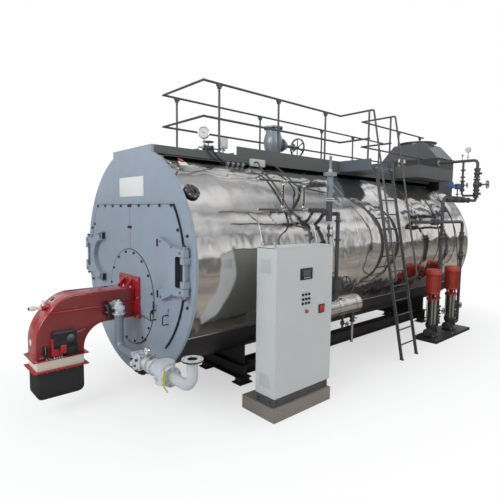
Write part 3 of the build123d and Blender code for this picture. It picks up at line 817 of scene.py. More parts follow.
def name_plate():
    """Blank white plate riveted above the doors."""
    low, high = (-0.363, 2.704), (0.353, 2.966)
    shape = bmesh.new()
    slab(shape, (low[0], front_y - 0.003, low[1]), (high[0], front_y, high[1]), 0.001)
    finish_piece("name_plate", shape, "instrument_grey")
    inset = 0.018
    corners = [
        (x, z) for x in (low[0] + inset, high[0] - inset)
        for z in (low[1] + inset, high[1] - inset)
    ]
    shape = bmesh.new()
    for x, z in corners:
        drum_of(shape, aim((x, front_y - 0.003, z), toward), 0.006, 0.003, 12, 0.001)
    finish_piece("name_plate_rivets", shape, "zinc")


# Cladding


def cladding_bands():
    """Lap seams where the polished sheets meet, with their rivets."""
    count = int((shell_high.y - shell_low.y) / sheet_pitch)
    shape = bmesh.new()
    rivets = bmesh.new()
    for k in range(1, count + 1):
        y = front_y + k * sheet_pitch
        seat = aim((0, y, axis_z), (0, 1, 0))
        lap = [
            (shell_r, 0), (shell_r + 0.0012, 0.001), (shell_r + 0.0012, 0.011), (shell_r, 0.012)
        ]
        turned(shape, seat, lap, 128, closed=False)
        for turn in range(-40, 221, 6):
            spot = on_shell(turn, y + 0.020, -0.0005)
            if spot.z < deck_z - 0.16 or abs(spot.x) > 0.6:
                drum_of(rivets, aim(spot, outward(turn)), 0.0035, 0.003, 6, top=0.002)
    finish_piece("cladding_bands", shape, "cladding", smooth=60)
    finish_piece("cladding_rivets", rivets, "zinc")
    shape = bmesh.new()
    for side in (-1, 1):
        low = cladding_seam_z - axis_z
        x = side * sqrt(shell_r**2 - low**2)
        bar(
            shape, (x, front_y + 0.045, cladding_seam_z),
            (x, shell_high.y - 0.005, cladding_seam_z), 0.006, 8
        )
    finish_piece("cladding_lower_trim", shape, "zinc")


def inspection_cover():
    """Round blank cover on the front shoulder of the shell."""
    angle, y = 38.0, behind(0.19)
    seat = aim(on_shell(angle, y, -0.012), outward(angle))
    shape = bmesh.new()
    turned(
        shape, seat, [(0.082, 0), (0.082, 0.026), (0.105, 0.026), (0.105, 0.044), (0.1, 0.048)], 40
    )
    turned(shape, lifted(seat, 0.048), [(0.028, 0), (0.028, 0.006), (0.02, 0.012)], 20)
    finish_piece("inspection_cover", shape, "frame_paint")
    fixings = ring(lifted(seat, 0.048).translation, outward(angle), 0.088, 8)
    bolts("inspection_cover_bolts", fixings, 0.014, "zinc")


def shoulder_fitting():
    """Bright fitting beside the crown of the front plate, with its bare tag and small pipe."""
    near = on_shell(64.0, behind(0.05), 0.045)
    far = on_shell(50.0, behind(0.12), 0.075)
    shape = bmesh.new()
    way = far - near
    seat = aim(near, way)
    length = way.length
    outline = [(0.014, 0), (0.022, 0.01), (0.022, 0.05), (0.012, 0.055), (0.012, 0.4 * length)]
    outline += [
        (0.02, 0.42 * length), (0.02, 0.6 * length), (0.012, 0.62 * length), (0.012, length - 0.04)
    ]
    outline += [(0.021, length - 0.035), (0.021, length), (0.012, length + 0.01)]
    turned(shape, seat, outline, 20)
    for share in (0.16, 0.5, 0.86):
        hoop(shape, lifted(seat, share * length), 0.021, 0.004, 20, 6)
    base = on_shell(57.0, behind(0.20), 0.0)
    bar(shape, base, near + 0.5 * way, 0.012, 12)
    for end in (near, far):
        foot = on_shell(degrees(atan2(end.z - axis_z, end.x)), end.y, -0.002)
        bar(shape, foot, end, 0.010, 12)
    finish_piece("sight_fitting", shape, "pump_steel")
    shape = bmesh.new()
    middle = on_shell(60.0, behind(0.30), 0.055)
    tilt = Matrix.Translation(middle) @ Matrix.Rotation(radians(30), 4, "Y")
    block(shape, tilt, (0.075, 0.06, 0.02), 0.004)
    finish_piece("sight_switch", shape, "burner_red")
    shape = bmesh.new()
    block(shape, tilt @ Matrix.Translation((0.07, 0.005, -0.012)), (0.10, 0.11, 0.016), 0.004)
    finish_piece("sight_bracket", shape, "instrument_grey")
    run = [
        near, near + Vector((-0.02, 0.12, 0.02)), (0.60, behind(0.5), 3.222),
        (0.60, behind(1.64), 3.222)
    ]
    pipe("sight_pipe", [run], 0.007, "pipe_steel", 0.06)


# Burner


def burner():
    """Bent air duct with its lid, flanges, gussets and nose fittings."""
    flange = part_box("burner_housing")
    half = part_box("burner_lid")[1].x
    root = 0.055
    lid_z, crest, low = 1.290, 1.480, 1.080
    joint = flange[0].z + 0.012
    shape = bmesh.new()
    lower = [(root, low), (0.430, low)] + arc_through(
        (0.430, low), (0.653, 1.001), (0.746, 0.810), 12
    )
    lower += [(0.746, joint), (1.305, joint), (1.305, 0.935)]
    lower += arc_through((1.305, 0.935), (1.262, 1.125), (1.150, lid_z), 10) + [(root, lid_z)]
    prism(shape, in_front(lower), -half, half, 0.012)
    rib = [(0.052, 1.30), (0.055, 1.06), (0.066, 1.06), (0.066, 1.30)]
    prism(shape, in_front(rib), half - 0.004, half + 0.016, 0.003)
    finish_piece("burner_duct", shape, "burner_red", smooth=40)

    shape = bmesh.new()
    brow = arc_through((1.150, lid_z), (1.035, 1.412), (0.860, crest), 12)
    lid = [(root, lid_z), (1.150, lid_z)] + brow + [(root, crest)]
    prism(shape, in_front(lid), -half - 0.003, half + 0.003, 0.020)
    lip = [
        (root + 0.02, lid_z - 0.014), (1.158, lid_z - 0.014), (1.158, lid_z + 0.006),
        (root + 0.02, lid_z + 0.006)
    ]
    prism(shape, in_front(lip), -half - 0.014, half + 0.014, 0.005)
    turned(
        shape, aim((0, out(1.10), 1.332), toward), [(0.042, 0), (0.042, 0.075), (0.036, 0.09)], 28
    )
    finish_piece("burner_duct_lid", shape, "burner_red", smooth=40)

    shape = bmesh.new()
    plate(shape, (-0.297, out(0.055), 1.060), (0.297, out(0.030), 1.630), 1, 0.030)
    for x in (-0.11, 0.11):
        web = [
            (out(0.053), crest - 0.012), (out(0.165), crest - 0.012), (out(0.165), crest + 0.014),
            (out(0.053), crest + 0.112)
        ]
        prism(shape, web, x - 0.006, x + 0.006, 0.001)
    plate(shape, (-0.222, flange[0].y, joint - 0.012), (0.222, out(0.704), joint), 2, 0.006)
    finish_piece("burner_flanges", shape, "burner_red", smooth=40)

    for piece in ("burner_duct", "burner_duct_lid", "burner_flanges"):
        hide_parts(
            "burner_housing" if piece != "burner_duct_lid"
            else "burner_lid"
        )

    seats = [aim((x, out(0.055), z), toward) for x in (-0.262, 0.262) for z in (1.10, 1.345, 1.59)]
    seats += [aim((x, out(0.055), 1.59), toward) for x in (-0.06, 0.06)]
    seats += [aim((x, out(0.10), crest)) for x in (-0.06, 0.06, 0.15)]
    bolts("burner_flange_bolts", seats, 0.022, "zinc")
    seats = []
    for z, way in ((joint, 1), (joint_z - 0.012, -1)):
        for k in range(6):
            y = flange[0].y + 0.035 + k * 0.115
            seats += [aim((side * 0.204, y, z), (0, 0, way)) for side in (-1, 1)]
        for x in (-0.10, 0.10):
            seats += [
                aim((x, y, z), (0, 0, way)) for y in (flange[0].y + 0.018, out(0.704) - 0.018)
            ]
    bolts("burner_joint_bolts", seats, 0.013, "zinc")
    seats = []
    for side in (-1, 1):
        for d in (0.16, 0.42, 0.68, 0.94):
            seats.append(aim((side * (half + 0.003), out(d), lid_z + 0.022), (side, 0, 0)))
    bolts("burner_lid_screws", seats, 0.010, "burner_red")

    shape = bmesh.new()
    slope = Matrix.Translation((0, out(1.046), 1.4105)) @ Matrix.Rotation(radians(38), 4, "X")
    block(shape, slope, (0.094, 0.078, 0.012), 0.003)
    finish_piece("sight_window_frame", shape, "instrument_grey")
    shape = bmesh.new()
    block(shape, slope @ Matrix.Translation((0, 0, 0.004)), (0.078, 0.062, 0.010), 0.002)
    finish_piece("sight_window", shape, "control_black")

    nose = aim((0, out(1.185), 1.332), toward)
    shape = bmesh.new()
    turned(
        shape, nose,
        [
            (0.026, 0), (0.026, 0.03), (0.019, 0.034), (0.019, 0.066), (0.030, 0.070),
            (0.030, 0.130), (0.024, 0.134)
        ],
        28
    )
    turned(
        shape, aim((0.03, out(1.165), 1.36), (0, -0.25, 1)),
        [(0.02, 0), (0.02, 0.035), (0.013, 0.04)], 20
    )
    turned(
        shape, aim((-0.03, out(1.15), 1.375), (-0.3, -0.2, 1)),
        [(0.012, 0), (0.016, 0.004), (0.016, 0.028), (0.010, 0.034)], 18
    )
    finish_piece("flame_sensor", shape, "burner_cream")
    shape = bmesh.new()
    turned(shape, lifted(nose, 0.134), [(0.018, 0), (0.018, 0.010), (0.012, 0.014)], 20)
    finish_piece("flame_sensor_gland", shape, "control_black")
    shape = bmesh.new()
    drum_of(shape, aim((-0.06, out(1.303), 0.905), toward), 0.042, 0.0035, 32, 0.001)
    finish_piece("badge_disc", shape, "instrument_grey")


def burner_side():
    """Air damper servo under its clear hood, with the relay box, latch and rod."""
    x = 0.180
    shape = bmesh.new()
    hood = (out(1.135), out(0.865), 0.862, 1.062)
    slab(shape, (x, hood[0], hood[2]), (x + 0.098, hood[1], hood[3]), 0.010, 3)
    hood_piece = finish_piece("servo_hood", shape, "gauge_glass")
    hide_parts("burner_controls")
    shape = bmesh.new()
    slab(shape, (x, out(1.150), 0.775), (x + 0.075, out(1.035), 0.985), 0.006, 3)
    slab(shape, (x + 0.02, out(1.060), 0.800), (x + 0.102, out(0.990), 0.905), 0.005, 3)
    finish_piece("servo_case", shape, "burner_red")
    shape = bmesh.new()
    drum_of(shape, aim((x + 0.098, out(0.940), 0.975), (1, 0, 0)), 0.045, 0.006, 32, 0.002)
    drum_of(shape, aim((x + 0.104, out(0.940), 0.975), (1, 0, 0)), 0.020, 0.008, 24, 0.002)
    finish_piece("servo_dial", shape, "tray_zinc")
    shape = bmesh.new()
    slab(shape, (x, out(0.990), 0.752), (x + 0.088, out(0.850), 0.866), 0.006, 3)
    slab(shape, (x + 0.088, out(0.975), 0.765), (x + 0.092, out(0.865), 0.852), 0.002)
    finish_piece("relay_case", shape, "control_black")
    shape = bmesh.new()
    slab(shape, (x, out(1.235), 0.790), (x + 0.022, out(1.185), 0.895), 0.003)
    hoop(shape, aim((x + 0.030, out(1.21), 0.845), (1, 0, 0)), 0.028, 0.005, 24, 8)
    bar(shape, (x, out(1.20), 0.775), (x + 0.05, out(1.20), 0.775), 0.010, 12)
    finish_piece("duct_latch", shape, "control_black")
    shape = bmesh.new()
    bar(shape, (x + 0.030, out(1.21), 0.800), (x + 0.030, out(1.21), 0.905), 0.006, 10)
    for d in (1.262, 1.235):
        drum_of(shape, aim((x, out(d), 0.765), (1, 0, 0)), 0.010, 0.012, 12, 0.002)
    bar(shape, (x + 0.085, out(0.925), 1.005), (x + 0.02, out(0.745), 1.035), 0.005, 10)
    for k in range(4):
        spot = (x + 0.05, out(1.12 - 0.028 * k), 0.758)
        drum_of(shape, aim(spot, (0.6, 0, -1)), 0.009, 0.022, 12, 0.002)
    finish_piece("servo_fittings", shape, "zinc")
    runs = [
        [
            (x + 0.05, out(1.095), 0.775), (x + 0.07, out(1.10), 0.748),
            (x + 0.055, out(1.16), 0.742), (x + 0.01, out(1.19), 0.760)
        ],
        [
            (x + 0.06, out(1.04), 0.775), (x + 0.07, out(1.03), 0.746),
            (x + 0.05, out(0.97), 0.745), (x + 0.04, out(0.95), 0.760)
        ],
    ]
    pipe("servo_leads", runs, 0.005, "gas_paint", 0.02)


# Gas train


def throttle():
    """Butterfly valve between the gas pipe and the burner, with its linkage."""
    y, stem_x = gas_y, 0.300
    seat = aim((stem_x, y, 1.180))
    shape = bmesh.new()
    outline = [
        (0.080, 0), (0.080, 0.018), (0.058, 0.022), (0.052, 0.05), (0.058, 0.075), (0.074, 0.080)
    ]
    outline += [
        (0.074, 0.096), (0.046, 0.100), (0.046, 0.150), (0.034, 0.158), (0.018, 0.162),
        (0.018, 0.188)
    ]
    turned(shape, seat, outline, 32)
    turned(
        shape, aim((0.180, y, 1.272), (1, 0, 0)),
        [(0.070, 0), (0.070, 0.014), (0.044, 0.018), (0.044, 0.10)], 28
    )
    turned(
        shape, aim((stem_x, y, 1.262), (1, 0, 0.1)),
        [(0.030, 0), (0.030, 0.075), (0.042, 0.078), (0.042, 0.088), (0.02, 0.1)], 24
    )
    piece = finish_piece("throttle_valve", shape, "gas_alloy", smooth=40)
    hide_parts("gas_throttle")
    seats = ring((stem_x, y, 1.198), (0, 0, 1), 0.068, 8, pi / 8)
    seats += ring((0.194, y, 1.272), (1, 0, 0), 0.058, 6)
    bolts("throttle_bolts", seats, 0.013, "zinc")
    shape = bmesh.new()
    bar(shape, (stem_x, y, 1.255), (stem_x, y - 0.085, 1.255), 0.010, 12)
    slab(shape, (0.286, y - 0.092, 1.190), (0.314, y - 0.080, 1.275), 0.003)
    slab(shape, (0.230, y - 0.125, 1.150), (0.292, y - 0.078, 1.225), 0.006, 3)
    slab(shape, (0.190, y - 0.14, 1.245), (0.262, y - 0.09, 1.315), 0.006, 3)
    for dy, z in ((0.105, 1.330), (0.150, 1.300), (0.145, 1.215), (0.120, 1.165)):
        drum_of(shape, aim((0.215, y - dy, z), (1, 0, 0)), 0.018, 0.045, 14, 0.003)
    finish_piece("throttle_linkage", shape, "control_black")
    shape = bmesh.new()
    for dy, z in (
        (0.105, 1.330), (0.150, 1.300), (0.145, 1.215), (0.120, 1.165), (0.088, 1.262),
        (0.088, 1.202)
    ):
        nut(shape, aim((0.260 if dy > 0.1 else 0.314, y - dy, z), (1, 0, 0)), 0.018)
    bar(shape, (0.268, y - 0.13, 1.285), (0.268, y - 0.13, 1.190), 0.005, 8)
    finish_piece("throttle_nuts", shape, "zinc")


def gas_valves():
    """Double solenoid valve, the pressure switch on its stem, gauge and filter."""
    y = gas_y
    z = (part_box("gas_filter")[0].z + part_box("gas_filter")[1].z) / 2 - 0.01
    shape = bmesh.new()
    plate(shape, (0.828, y - 0.088, z - 0.098), (0.985, y + 0.088, z + 0.060), 2, 0.022)
    plate(shape, (0.800, y - 0.080, z - 0.080), (0.830, y + 0.080, z + 0.080), 0, 0.018)
    plate(shape, (0.983, y - 0.080, z - 0.080), (1.012, y + 0.080, z + 0.080), 0, 0.018)
    plate(shape, (0.850, y - 0.060, z + 0.055), (0.960, y + 0.060, z + 0.082), 2, 0.012)
    tube = [
        (0.057, 0), (0.057, 0.06), (0.066, 0.07), (0.066, 0.10), (0.088, 0.104), (0.088, 0.122),
        (0.06, 0.128), (0.06, 0.20)
    ]
    tube += [(0.096, 0.204), (0.096, 0.222), (0.096, 0.240), (0.07, 0.246), (0.07, 0.338)]
    turned(shape, aim((1.010, y, z), (1, 0, 0)), tube, 32)
    turned(
        shape, aim((0.905, y - 0.086, z - 0.02), toward),
        [(0.045, 0), (0.045, 0.018), (0.03, 0.022), (0.03, 0.05), (0.022, 0.055)], 24
    )
    piece = finish_piece("solenoid_valve", shape, "gas_alloy", smooth=40)
    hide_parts("gas_valve_block")
    shape = bmesh.new()
    for x in (0.862, 0.950):
        turned(
            shape, aim((x, y, z - 0.096), (0, 0, -1)),
            [(0.038, 0), (0.038, 0.052), (0.03, 0.056), (0.03, 0.070)], 24
        )
        slab(shape, (x - 0.028, y - 0.058, z - 0.150), (x + 0.028, y - 0.030, z - 0.112), 0.004)
    for x, up in ((0.845, 0.012), (0.93, -0.04), (0.965, 0.03)):
        drum_of(shape, aim((x, y - 0.088, z + up), toward), 0.016, 0.020, 16, 0.003)
    finish_piece("solenoid_coils", shape, "control_black")
    seats = [
        aim((1.012, y + a * 0.062, z + b * 0.062), (1, 0, 0)) for a in (-1, 1) for b in (-1, 1)
    ]
    seats += [
        aim((0.800, y + a * 0.062, z + b * 0.062), (-1, 0, 0)) for a in (-1, 1) for b in (-1, 1)
    ]
    seats += [aim((x, y + a * 0.045, z + 0.082)) for a in (-1, 1) for x in (0.866, 0.944)]
    seats += [aim((x, y - 0.088, z + c), toward) for x in (0.842, 0.972) for c in (-0.082, 0.044)]
    bolts("solenoid_bolts", seats, 0.014, "zinc")

    shape = bmesh.new()
    riser_x, branch_z = 1.150, 0.862
    bar(shape, (riser_x, y, z + 0.055), (riser_x, y, branch_z), 0.018, 16)
    bar(shape, (1.095, y, branch_z), (1.205, y, branch_z), 0.020, 16)
    for x in (1.095, 1.193):
        drum_of(shape, aim((x, y, branch_z), (1, 0, 0)), 0.026, 0.014, 12, 0.002)
    drum_of(shape, aim((riser_x, y, 0.835)), 0.027, 0.016, 6, 0.002)
    bar(shape, (1.205, y, branch_z), (1.205, y, 0.755), 0.013, 12)
    finish_piece("gas_test_riser", shape, "zinc")
    shape = bmesh.new()
    gauge_x = 1.058
    bar(shape, (gauge_x, y, z + 0.05), (gauge_x, y, 0.835), 0.008, 12)
    drum_of(shape, aim((gauge_x, y, 0.800)), 0.014, 0.018, 6, 0.002)
    finish_piece("gas_gauge_stem", shape, "valve_brass")
    dial_gauge("gas_gauge", (gauge_x, y + 0.012, 0.885), 0.048, 0.030)

    shape = bmesh.new()
    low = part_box("gas_filter")[0].z
    plate(shape, (1.350, y - 0.105, low + 0.004), (1.552, y + 0.105, z + 0.128), 2, 0.085)
    bmesh.ops.recalc_face_normals(shape, faces=shape.faces)
    plate(shape, (1.338, y - 0.110, z + 0.098), (1.564, y + 0.110, z + 0.120), 2, 0.095)
    plate(shape, (1.352, y - 0.098, z + 0.120), (1.550, y + 0.098, z + 0.132), 2, 0.085)
    turned(shape, aim((1.335, y, z), (1, 0, 0)), [(0.072, 0), (0.072, 0.04)], 28)
    turned(
        shape, aim((1.540, y, z), (1, 0, 0)),
        [(0.074, 0), (0.074, 0.012), (0.110, 0.014), (0.110, 0.040)], 36
    )
    turned(
        shape, aim((1.45, y - 0.100, z - 0.03), toward),
        [(0.035, 0), (0.035, 0.012), (0.02, 0.014), (0.02, 0.03)], 20
    )
    piece = finish_piece("filter_housing", shape, "gas_alloy", smooth=40)
    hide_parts("gas_filter")
    seats = []
    for k in range(10):
        turn = 2 * pi * k / 10
        seats.append(aim((1.451 + 0.096 * cos(turn), y + 0.094 * sin(turn), z + 0.120)))
    bolts("filter_cover_bolts", seats, 0.011, "zinc")
    shape = bmesh.new()
    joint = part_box("gas_inlet")[0].x
    flange_nuts(shape, (joint, y, z), (1, 0, 0), 0.090, 8, 0.018, 0.056)
    finish_piece("gas_flange_nuts", shape, "zinc")
    x = joint + 0.05
    band = [
        (0.016, y - 0.118, z + 0.122), (0.0, y - 0.122, z + 0.03), (-0.004, y - 0.122, z - 0.06),
        (0.01, y - 0.090, z - 0.118)
    ]
    shape = bmesh.new()
    for left, right in zip(band, band[1:]):
        a, b = Vector((x + left[0], left[1], left[2])), Vector((x + right[0], right[1], right[2]))
        for shift in (0.0, 0.024):
            step = Vector((shift, 0, -0.008 if shift else 0))
            bar(shape, a + step, b + step, 0.007, 8)
    finish_piece("bonding_strap", shape, "valve_brass", finish="strap_yellow")


# Cabinet


def lamp(shape, seat, radius, height):
    """A stepped lens or button."""
    outline = [
        (radius * 1.25, 0),
        (radius * 1.25, height * 0.3),
        (radius, height * 0.4),
        (radius, height * 0.8),
        (radius * 0.8, height),
    ]
    turned(shape, seat, outline, 20)


def cabinet_panel():
    """Screen, buttons, lamps, selectors and main switch on the door."""
    body = "cabinet_door"
    face = (1, 0, 0)
    columns = [behind(d) for d in (1.264, 1.324, 1.381)]
    x = cabinet_face
    low, high = behind(1.209), behind(1.436)
    shape = bmesh.new()
    slab(shape, (x, low, 1.686), (x + 0.008, high, 1.830), 0.003)
    slab(shape, (x + 0.004, low + 0.012, 1.698), (x + 0.013, high - 0.012, 1.818), 0.004)
    frame_piece = finish_piece("screen_frame", shape, "control_black", body)
    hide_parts("cabinet_controls")
    shape = bmesh.new()
    slab(shape, (x + 0.011, low + 0.048, 1.728), (x + 0.0142, high - 0.048, 1.806), 0.001)
    finish_piece("screen_glass", shape, "control_black", body, finish="plinth_paint")
    shape = bmesh.new()
    for k in range(5):
        y = low + 0.060 + 0.025 * k
        slab(shape, (x + 0.011, y, 1.706), (x + 0.015, y + 0.014, 1.716), 0.001)
    finish_piece("screen_keys", shape, "instrument_grey", body)
    shape = bmesh.new()
    for y in columns[:2]:
        lamp(shape, aim((x, y, 1.553), face), 0.013, 0.022)
    finish_piece("signal_lamps", shape, "instrument_grey", body)
    shape = bmesh.new()
    for y in columns:
        lamp(shape, aim((x, y, 1.500), face), 0.014, 0.018)
        drum_of(shape, aim((x, y, 1.442), face), 0.016, 0.010, 20, 0.002)
        slab(shape, (x + 0.009, y - 0.005, 1.428), (x + 0.026, y + 0.005, 1.457), 0.002)
        lamp(shape, aim((x, y, 1.388), face), 0.014, 0.018)
    finish_piece("push_buttons", shape, "control_black", body)
    shape = bmesh.new()
    for y in columns:
        for z in (1.522, 1.466, 1.410):
            slab(shape, (x, y - 0.011, z - 0.0045), (x + 0.0012, y + 0.011, z + 0.0045), 0.0004)
    finish_piece("button_plates", shape, "instrument_grey", body)
    shape = bmesh.new()
    drum_of(shape, aim((x, behind(1.334), 1.286), face), 0.024, 0.006, 28, 0.002)
    finish_piece("stop_collar", shape, "valve_brass", body)
    shape = bmesh.new()
    turned(
        shape, aim((x + 0.005, behind(1.334), 1.286), face),
        [(0.011, 0), (0.011, 0.012), (0.022, 0.014), (0.021, 0.024), (0.012, 0.030)], 28
    )
    finish_piece("stop_button", shape, "pump_orange", body)
    y, z = behind(1.636), 1.280
    shape = bmesh.new()
    slab(shape, (x, y - 0.062, z - 0.058), (x + 0.007, y + 0.062, z + 0.057), 0.004)
    finish_piece("main_switch_plate", shape, "control_black", body)
    shape = bmesh.new()
    slab(shape, (x + 0.006, y - 0.042, z - 0.045), (x + 0.009, y + 0.042, z + 0.045), 0.002)
    turned(shape, aim((x + 0.008, y, z), face), [(0.036, 0), (0.036, 0.012), (0.030, 0.016)], 32)
    slab(shape, (x + 0.018, y - 0.011, z - 0.036), (x + 0.046, y + 0.011, z + 0.036), 0.005, 3)
    finish_piece("main_switch", shape, "pump_orange", body)


def cabinet_trim():
    """Louvred vents, roof, eyebolts, door seal line and hinges."""
    low, high = cabinet_low, cabinet_high
    middle = (low.x + high.x) / 2
    vents_z = (0.481, 1.876)
    shape = bmesh.new()
    for z in vents_z:
        slab(
            shape, (middle - 0.095, low.y - 0.005, z - 0.092),
            (middle + 0.095, low.y + 0.001, z + 0.092), 0.003
        )
        for k in range(9):
            level = z - 0.076 + 0.019 * k
            slat = [
                (low.y - 0.004, level - 0.004), (low.y - 0.012, level - 0.004),
                (low.y - 0.012, level - 0.002), (low.y - 0.004, level + 0.003)
            ]
            prism(shape, slat, middle - 0.082, middle + 0.082)
    finish_piece("cabinet_vents", shape, "cabinet_paint")
    shape = bmesh.new()
    for z in vents_z:
        slab(
            shape, (middle - 0.083, low.y - 0.0062, z - 0.081),
            (middle + 0.083, low.y - 0.004, z + 0.081)
        )
    finish_piece("vent_filters", shape, "gas_paint")
    # Painted shade: a dark strip just under the roof cap, for the shade under the cap's edge
    shape = bmesh.new()
    slab(
        shape, (low.x - 0.001, low.y - 0.002, high.z - 0.006),
        (high.x - 0.001, high.y + 0.002, high.z - 0.0006)
    )
    finish_piece("roof_shade_line", shape, "control_black")
    shape = bmesh.new()
    slab(
        shape, (low.x - 0.002, low.y - 0.003, high.z - 0.0005),
        (high.x - 0.001, high.y + 0.003, high.z + 0.010), 0.003
    )
    finish_piece("cabinet_roof", shape, "cabinet_paint")
    shape = bmesh.new()
    for x in (low.x + 0.045, high.x - 0.045):
        for y in (low.y + 0.045, high.y - 0.045):
            drum_of(shape, aim((x, y, high.z + 0.010)), 0.020, 0.006, 20, 0.001)
            drum_of(shape, aim((x, y, high.z + 0.016)), 0.010, 0.012, 16, 0.001)
            hoop(shape, aim((x, y, high.z + 0.046), (1, 0, 0)), 0.020, 0.006, 28, 10)
    finish_piece("cabinet_eyebolts", shape, "zinc")
    shape = bmesh.new()
    x0, x1 = high.x - 0.001, high.x + 0.0002
    slab(shape, (x0, low.y + 0.004, low.z + 0.004), (x1, low.y + 0.016, high.z - 0.004))
    slab(shape, (x0, high.y - 0.016, low.z + 0.004), (x1, high.y - 0.004, high.z - 0.004))
    finish_piece("cabinet_door_gasket", shape, "control_black")
    shape = bmesh.new()
    for z in (0.45, 1.19, 1.93):
        slab(
            shape, (cabinet_face - 0.021, low.y - 0.0035, z - 0.035),
            (cabinet_face - 0.004, low.y + 0.001, z + 0.035), 0.0015
        )
    finish_piece("cabinet_door_hinges", shape, "cabinet_paint", "cabinet_door")
    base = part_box("cabinet_plinth")
    seats = []
    for y in (base[0].y + 0.06, base[1].y - 0.06):
        seats.append(aim((base[1].x, y, 0.232), (1, 0, 0)))
    for x in (base[0].x + 0.05, base[1].x - 0.05):
        seats.append(aim((x, base[0].y, 0.232), (0, -1, 0)))
    bolts("plinth_bolts", seats, 0.014, "frame_paint")


# Walkway, rails and ladder

# Distances of the rail posts behind the front plate
near_posts = (1.090, 2.285, 3.480, 6.040, 7.000)
far_posts = (1.060, 2.880, 4.710, 5.866, 7.000)


def rail_clamps():
    """Saddle clamps where the posts meet the top rails, and base plates on the deck."""
    post_x = 0.536
    posts = [(post_x, behind(d)) for d in near_posts]
    posts += [(-post_x, behind(d)) for d in far_posts]
    heads = bmesh.new()
    feet = bmesh.new()
    seats = []
    for x, y in posts:
        slab(heads, (x - 0.020, y - 0.045, 4.270), (x + 0.020, y + 0.045, 4.296), 0.005)
        slab(heads, (x - 0.023, y - 0.026, 4.238), (x + 0.023, y + 0.026, 4.272), 0.005)
        slab(feet, (x - 0.022, y - 0.045, deck_z), (x + 0.022, y + 0.045, deck_z + 0.008), 0.002)
        seats += [aim((x, y + s * 0.034, deck_z + 0.008)) for s in (-1, 1)]
    finish_piece("rail_clamps", heads, "rail_paint")
    finish_piece("post_feet", feet, "rail_paint")
    bolts("post_foot_bolts", seats, 0.012, "zinc")


def deck_bearers():
    """Angle bearers under the walkway and stiffeners on its skirt."""
    shape = bmesh.new()
    for k in range(4):
        y = deck_low.y + (k + 1) * (deck_high.y - deck_low.y) / 5
        for side in (-1, 1):
            web = [(y - 0.004, 3.247), (y + 0.004, 3.247), (y + 0.004, 3.341), (y - 0.004, 3.341)]
            prism(shape, web, side * 0.36, side * 0.552)
    bmesh.ops.recalc_face_normals(shape, faces=shape.faces)
    finish_piece("deck_bearers", shape, "deck_paint")
    shape = bmesh.new()
    for side in (-1, 1):
        bar(
            shape, (side * 0.562, deck_low.y + 0.005, 3.2475),
            (side * 0.562, deck_high.y - 0.005, 3.2475), 0.0045, 8
        )
    finish_piece("skirt_edge", shape, "deck_paint")


def ladder_fixings():
    """Brackets that hold the ladder to the landing, and rubber feet."""
    low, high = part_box("ladder")
    shape = bmesh.new()
    for y in (low.y + 0.012, high.y - 0.012):
        slab(shape, (1.228, y - 0.030, 3.286), (1.262, y + 0.030, 3.338), 0.003)
        slab(shape, (1.868, y - 0.017, 0.0), (1.932, y + 0.017, 0.030), 0.005)
    finish_piece("ladder_brackets", shape, "rail_paint")
    seats = [
        aim((1.262, y + s * 0.018, 3.312), (1, 0, 0)) for y in (low.y + 0.012, high.y - 0.012)
        for s in (-1, 1)
    ]
    bolts("ladder_bolts", seats, 0.014, "zinc")


# Fittings on top


def steam_fittings():
    """Bolts, yoke and gland of the main steam valve."""
    y, outlet_z = behind(2.700), 3.720
    nuts = bmesh.new()
    flange_nuts(nuts, (0, y, 3.422), (0, 0, 1), 0.147, 12, 0.026, 0.024)
    for seat in ring((0, y, 3.982), (0, 0, -1), 0.149, 12):
        nut(nuts, seat, 0.026)
    for seat in ring((0, y + 0.220, outlet_z), (0, 1, 0), 0.098, 8, pi / 8):
        nut(nuts, seat, 0.024)
    finish_piece("steam_valve_nuts", nuts, "wheel_paint")
    shape = bmesh.new()
    turned(
        shape, aim((0, y, 3.350)), [(0.150, 0), (0.150, 0.012), (0.128, 0.016), (0.118, 0.05)], 40
    )
    turned(
        shape, aim((0, y + 0.185, outlet_z), (0, 1, 0)),
        [(0.118, 0), (0.118, 0.038), (0.088, 0.042), (0.078, 0.07), (0.050, 0.075), (0.046, 0.10)],
        36
    )
    for side in (-1, 1):
        bar(
            shape, (side * 0.060, y + 0.215, outlet_z), (side * 0.046, y + 0.520, outlet_z), 0.013,
            12
        )
    turned(
        shape, aim((0, y + 0.505, outlet_z), (0, 1, 0)),
        [(0.064, 0), (0.064, 0.020), (0.034, 0.024), (0.034, 0.055)], 28
    )
    turned(
        shape, aim((0, y, 3.600)),
        [
            (0.100, -0.12), (0.118, -0.07), (0.142, 0.01), (0.160, 0.09), (0.166, 0.16),
            (0.154, 0.24), (0.132, 0.30), (0.126, 0.37)
        ],
        40
    )
    finish_piece("steam_valve_yoke", shape, "valve_silver", smooth=40)


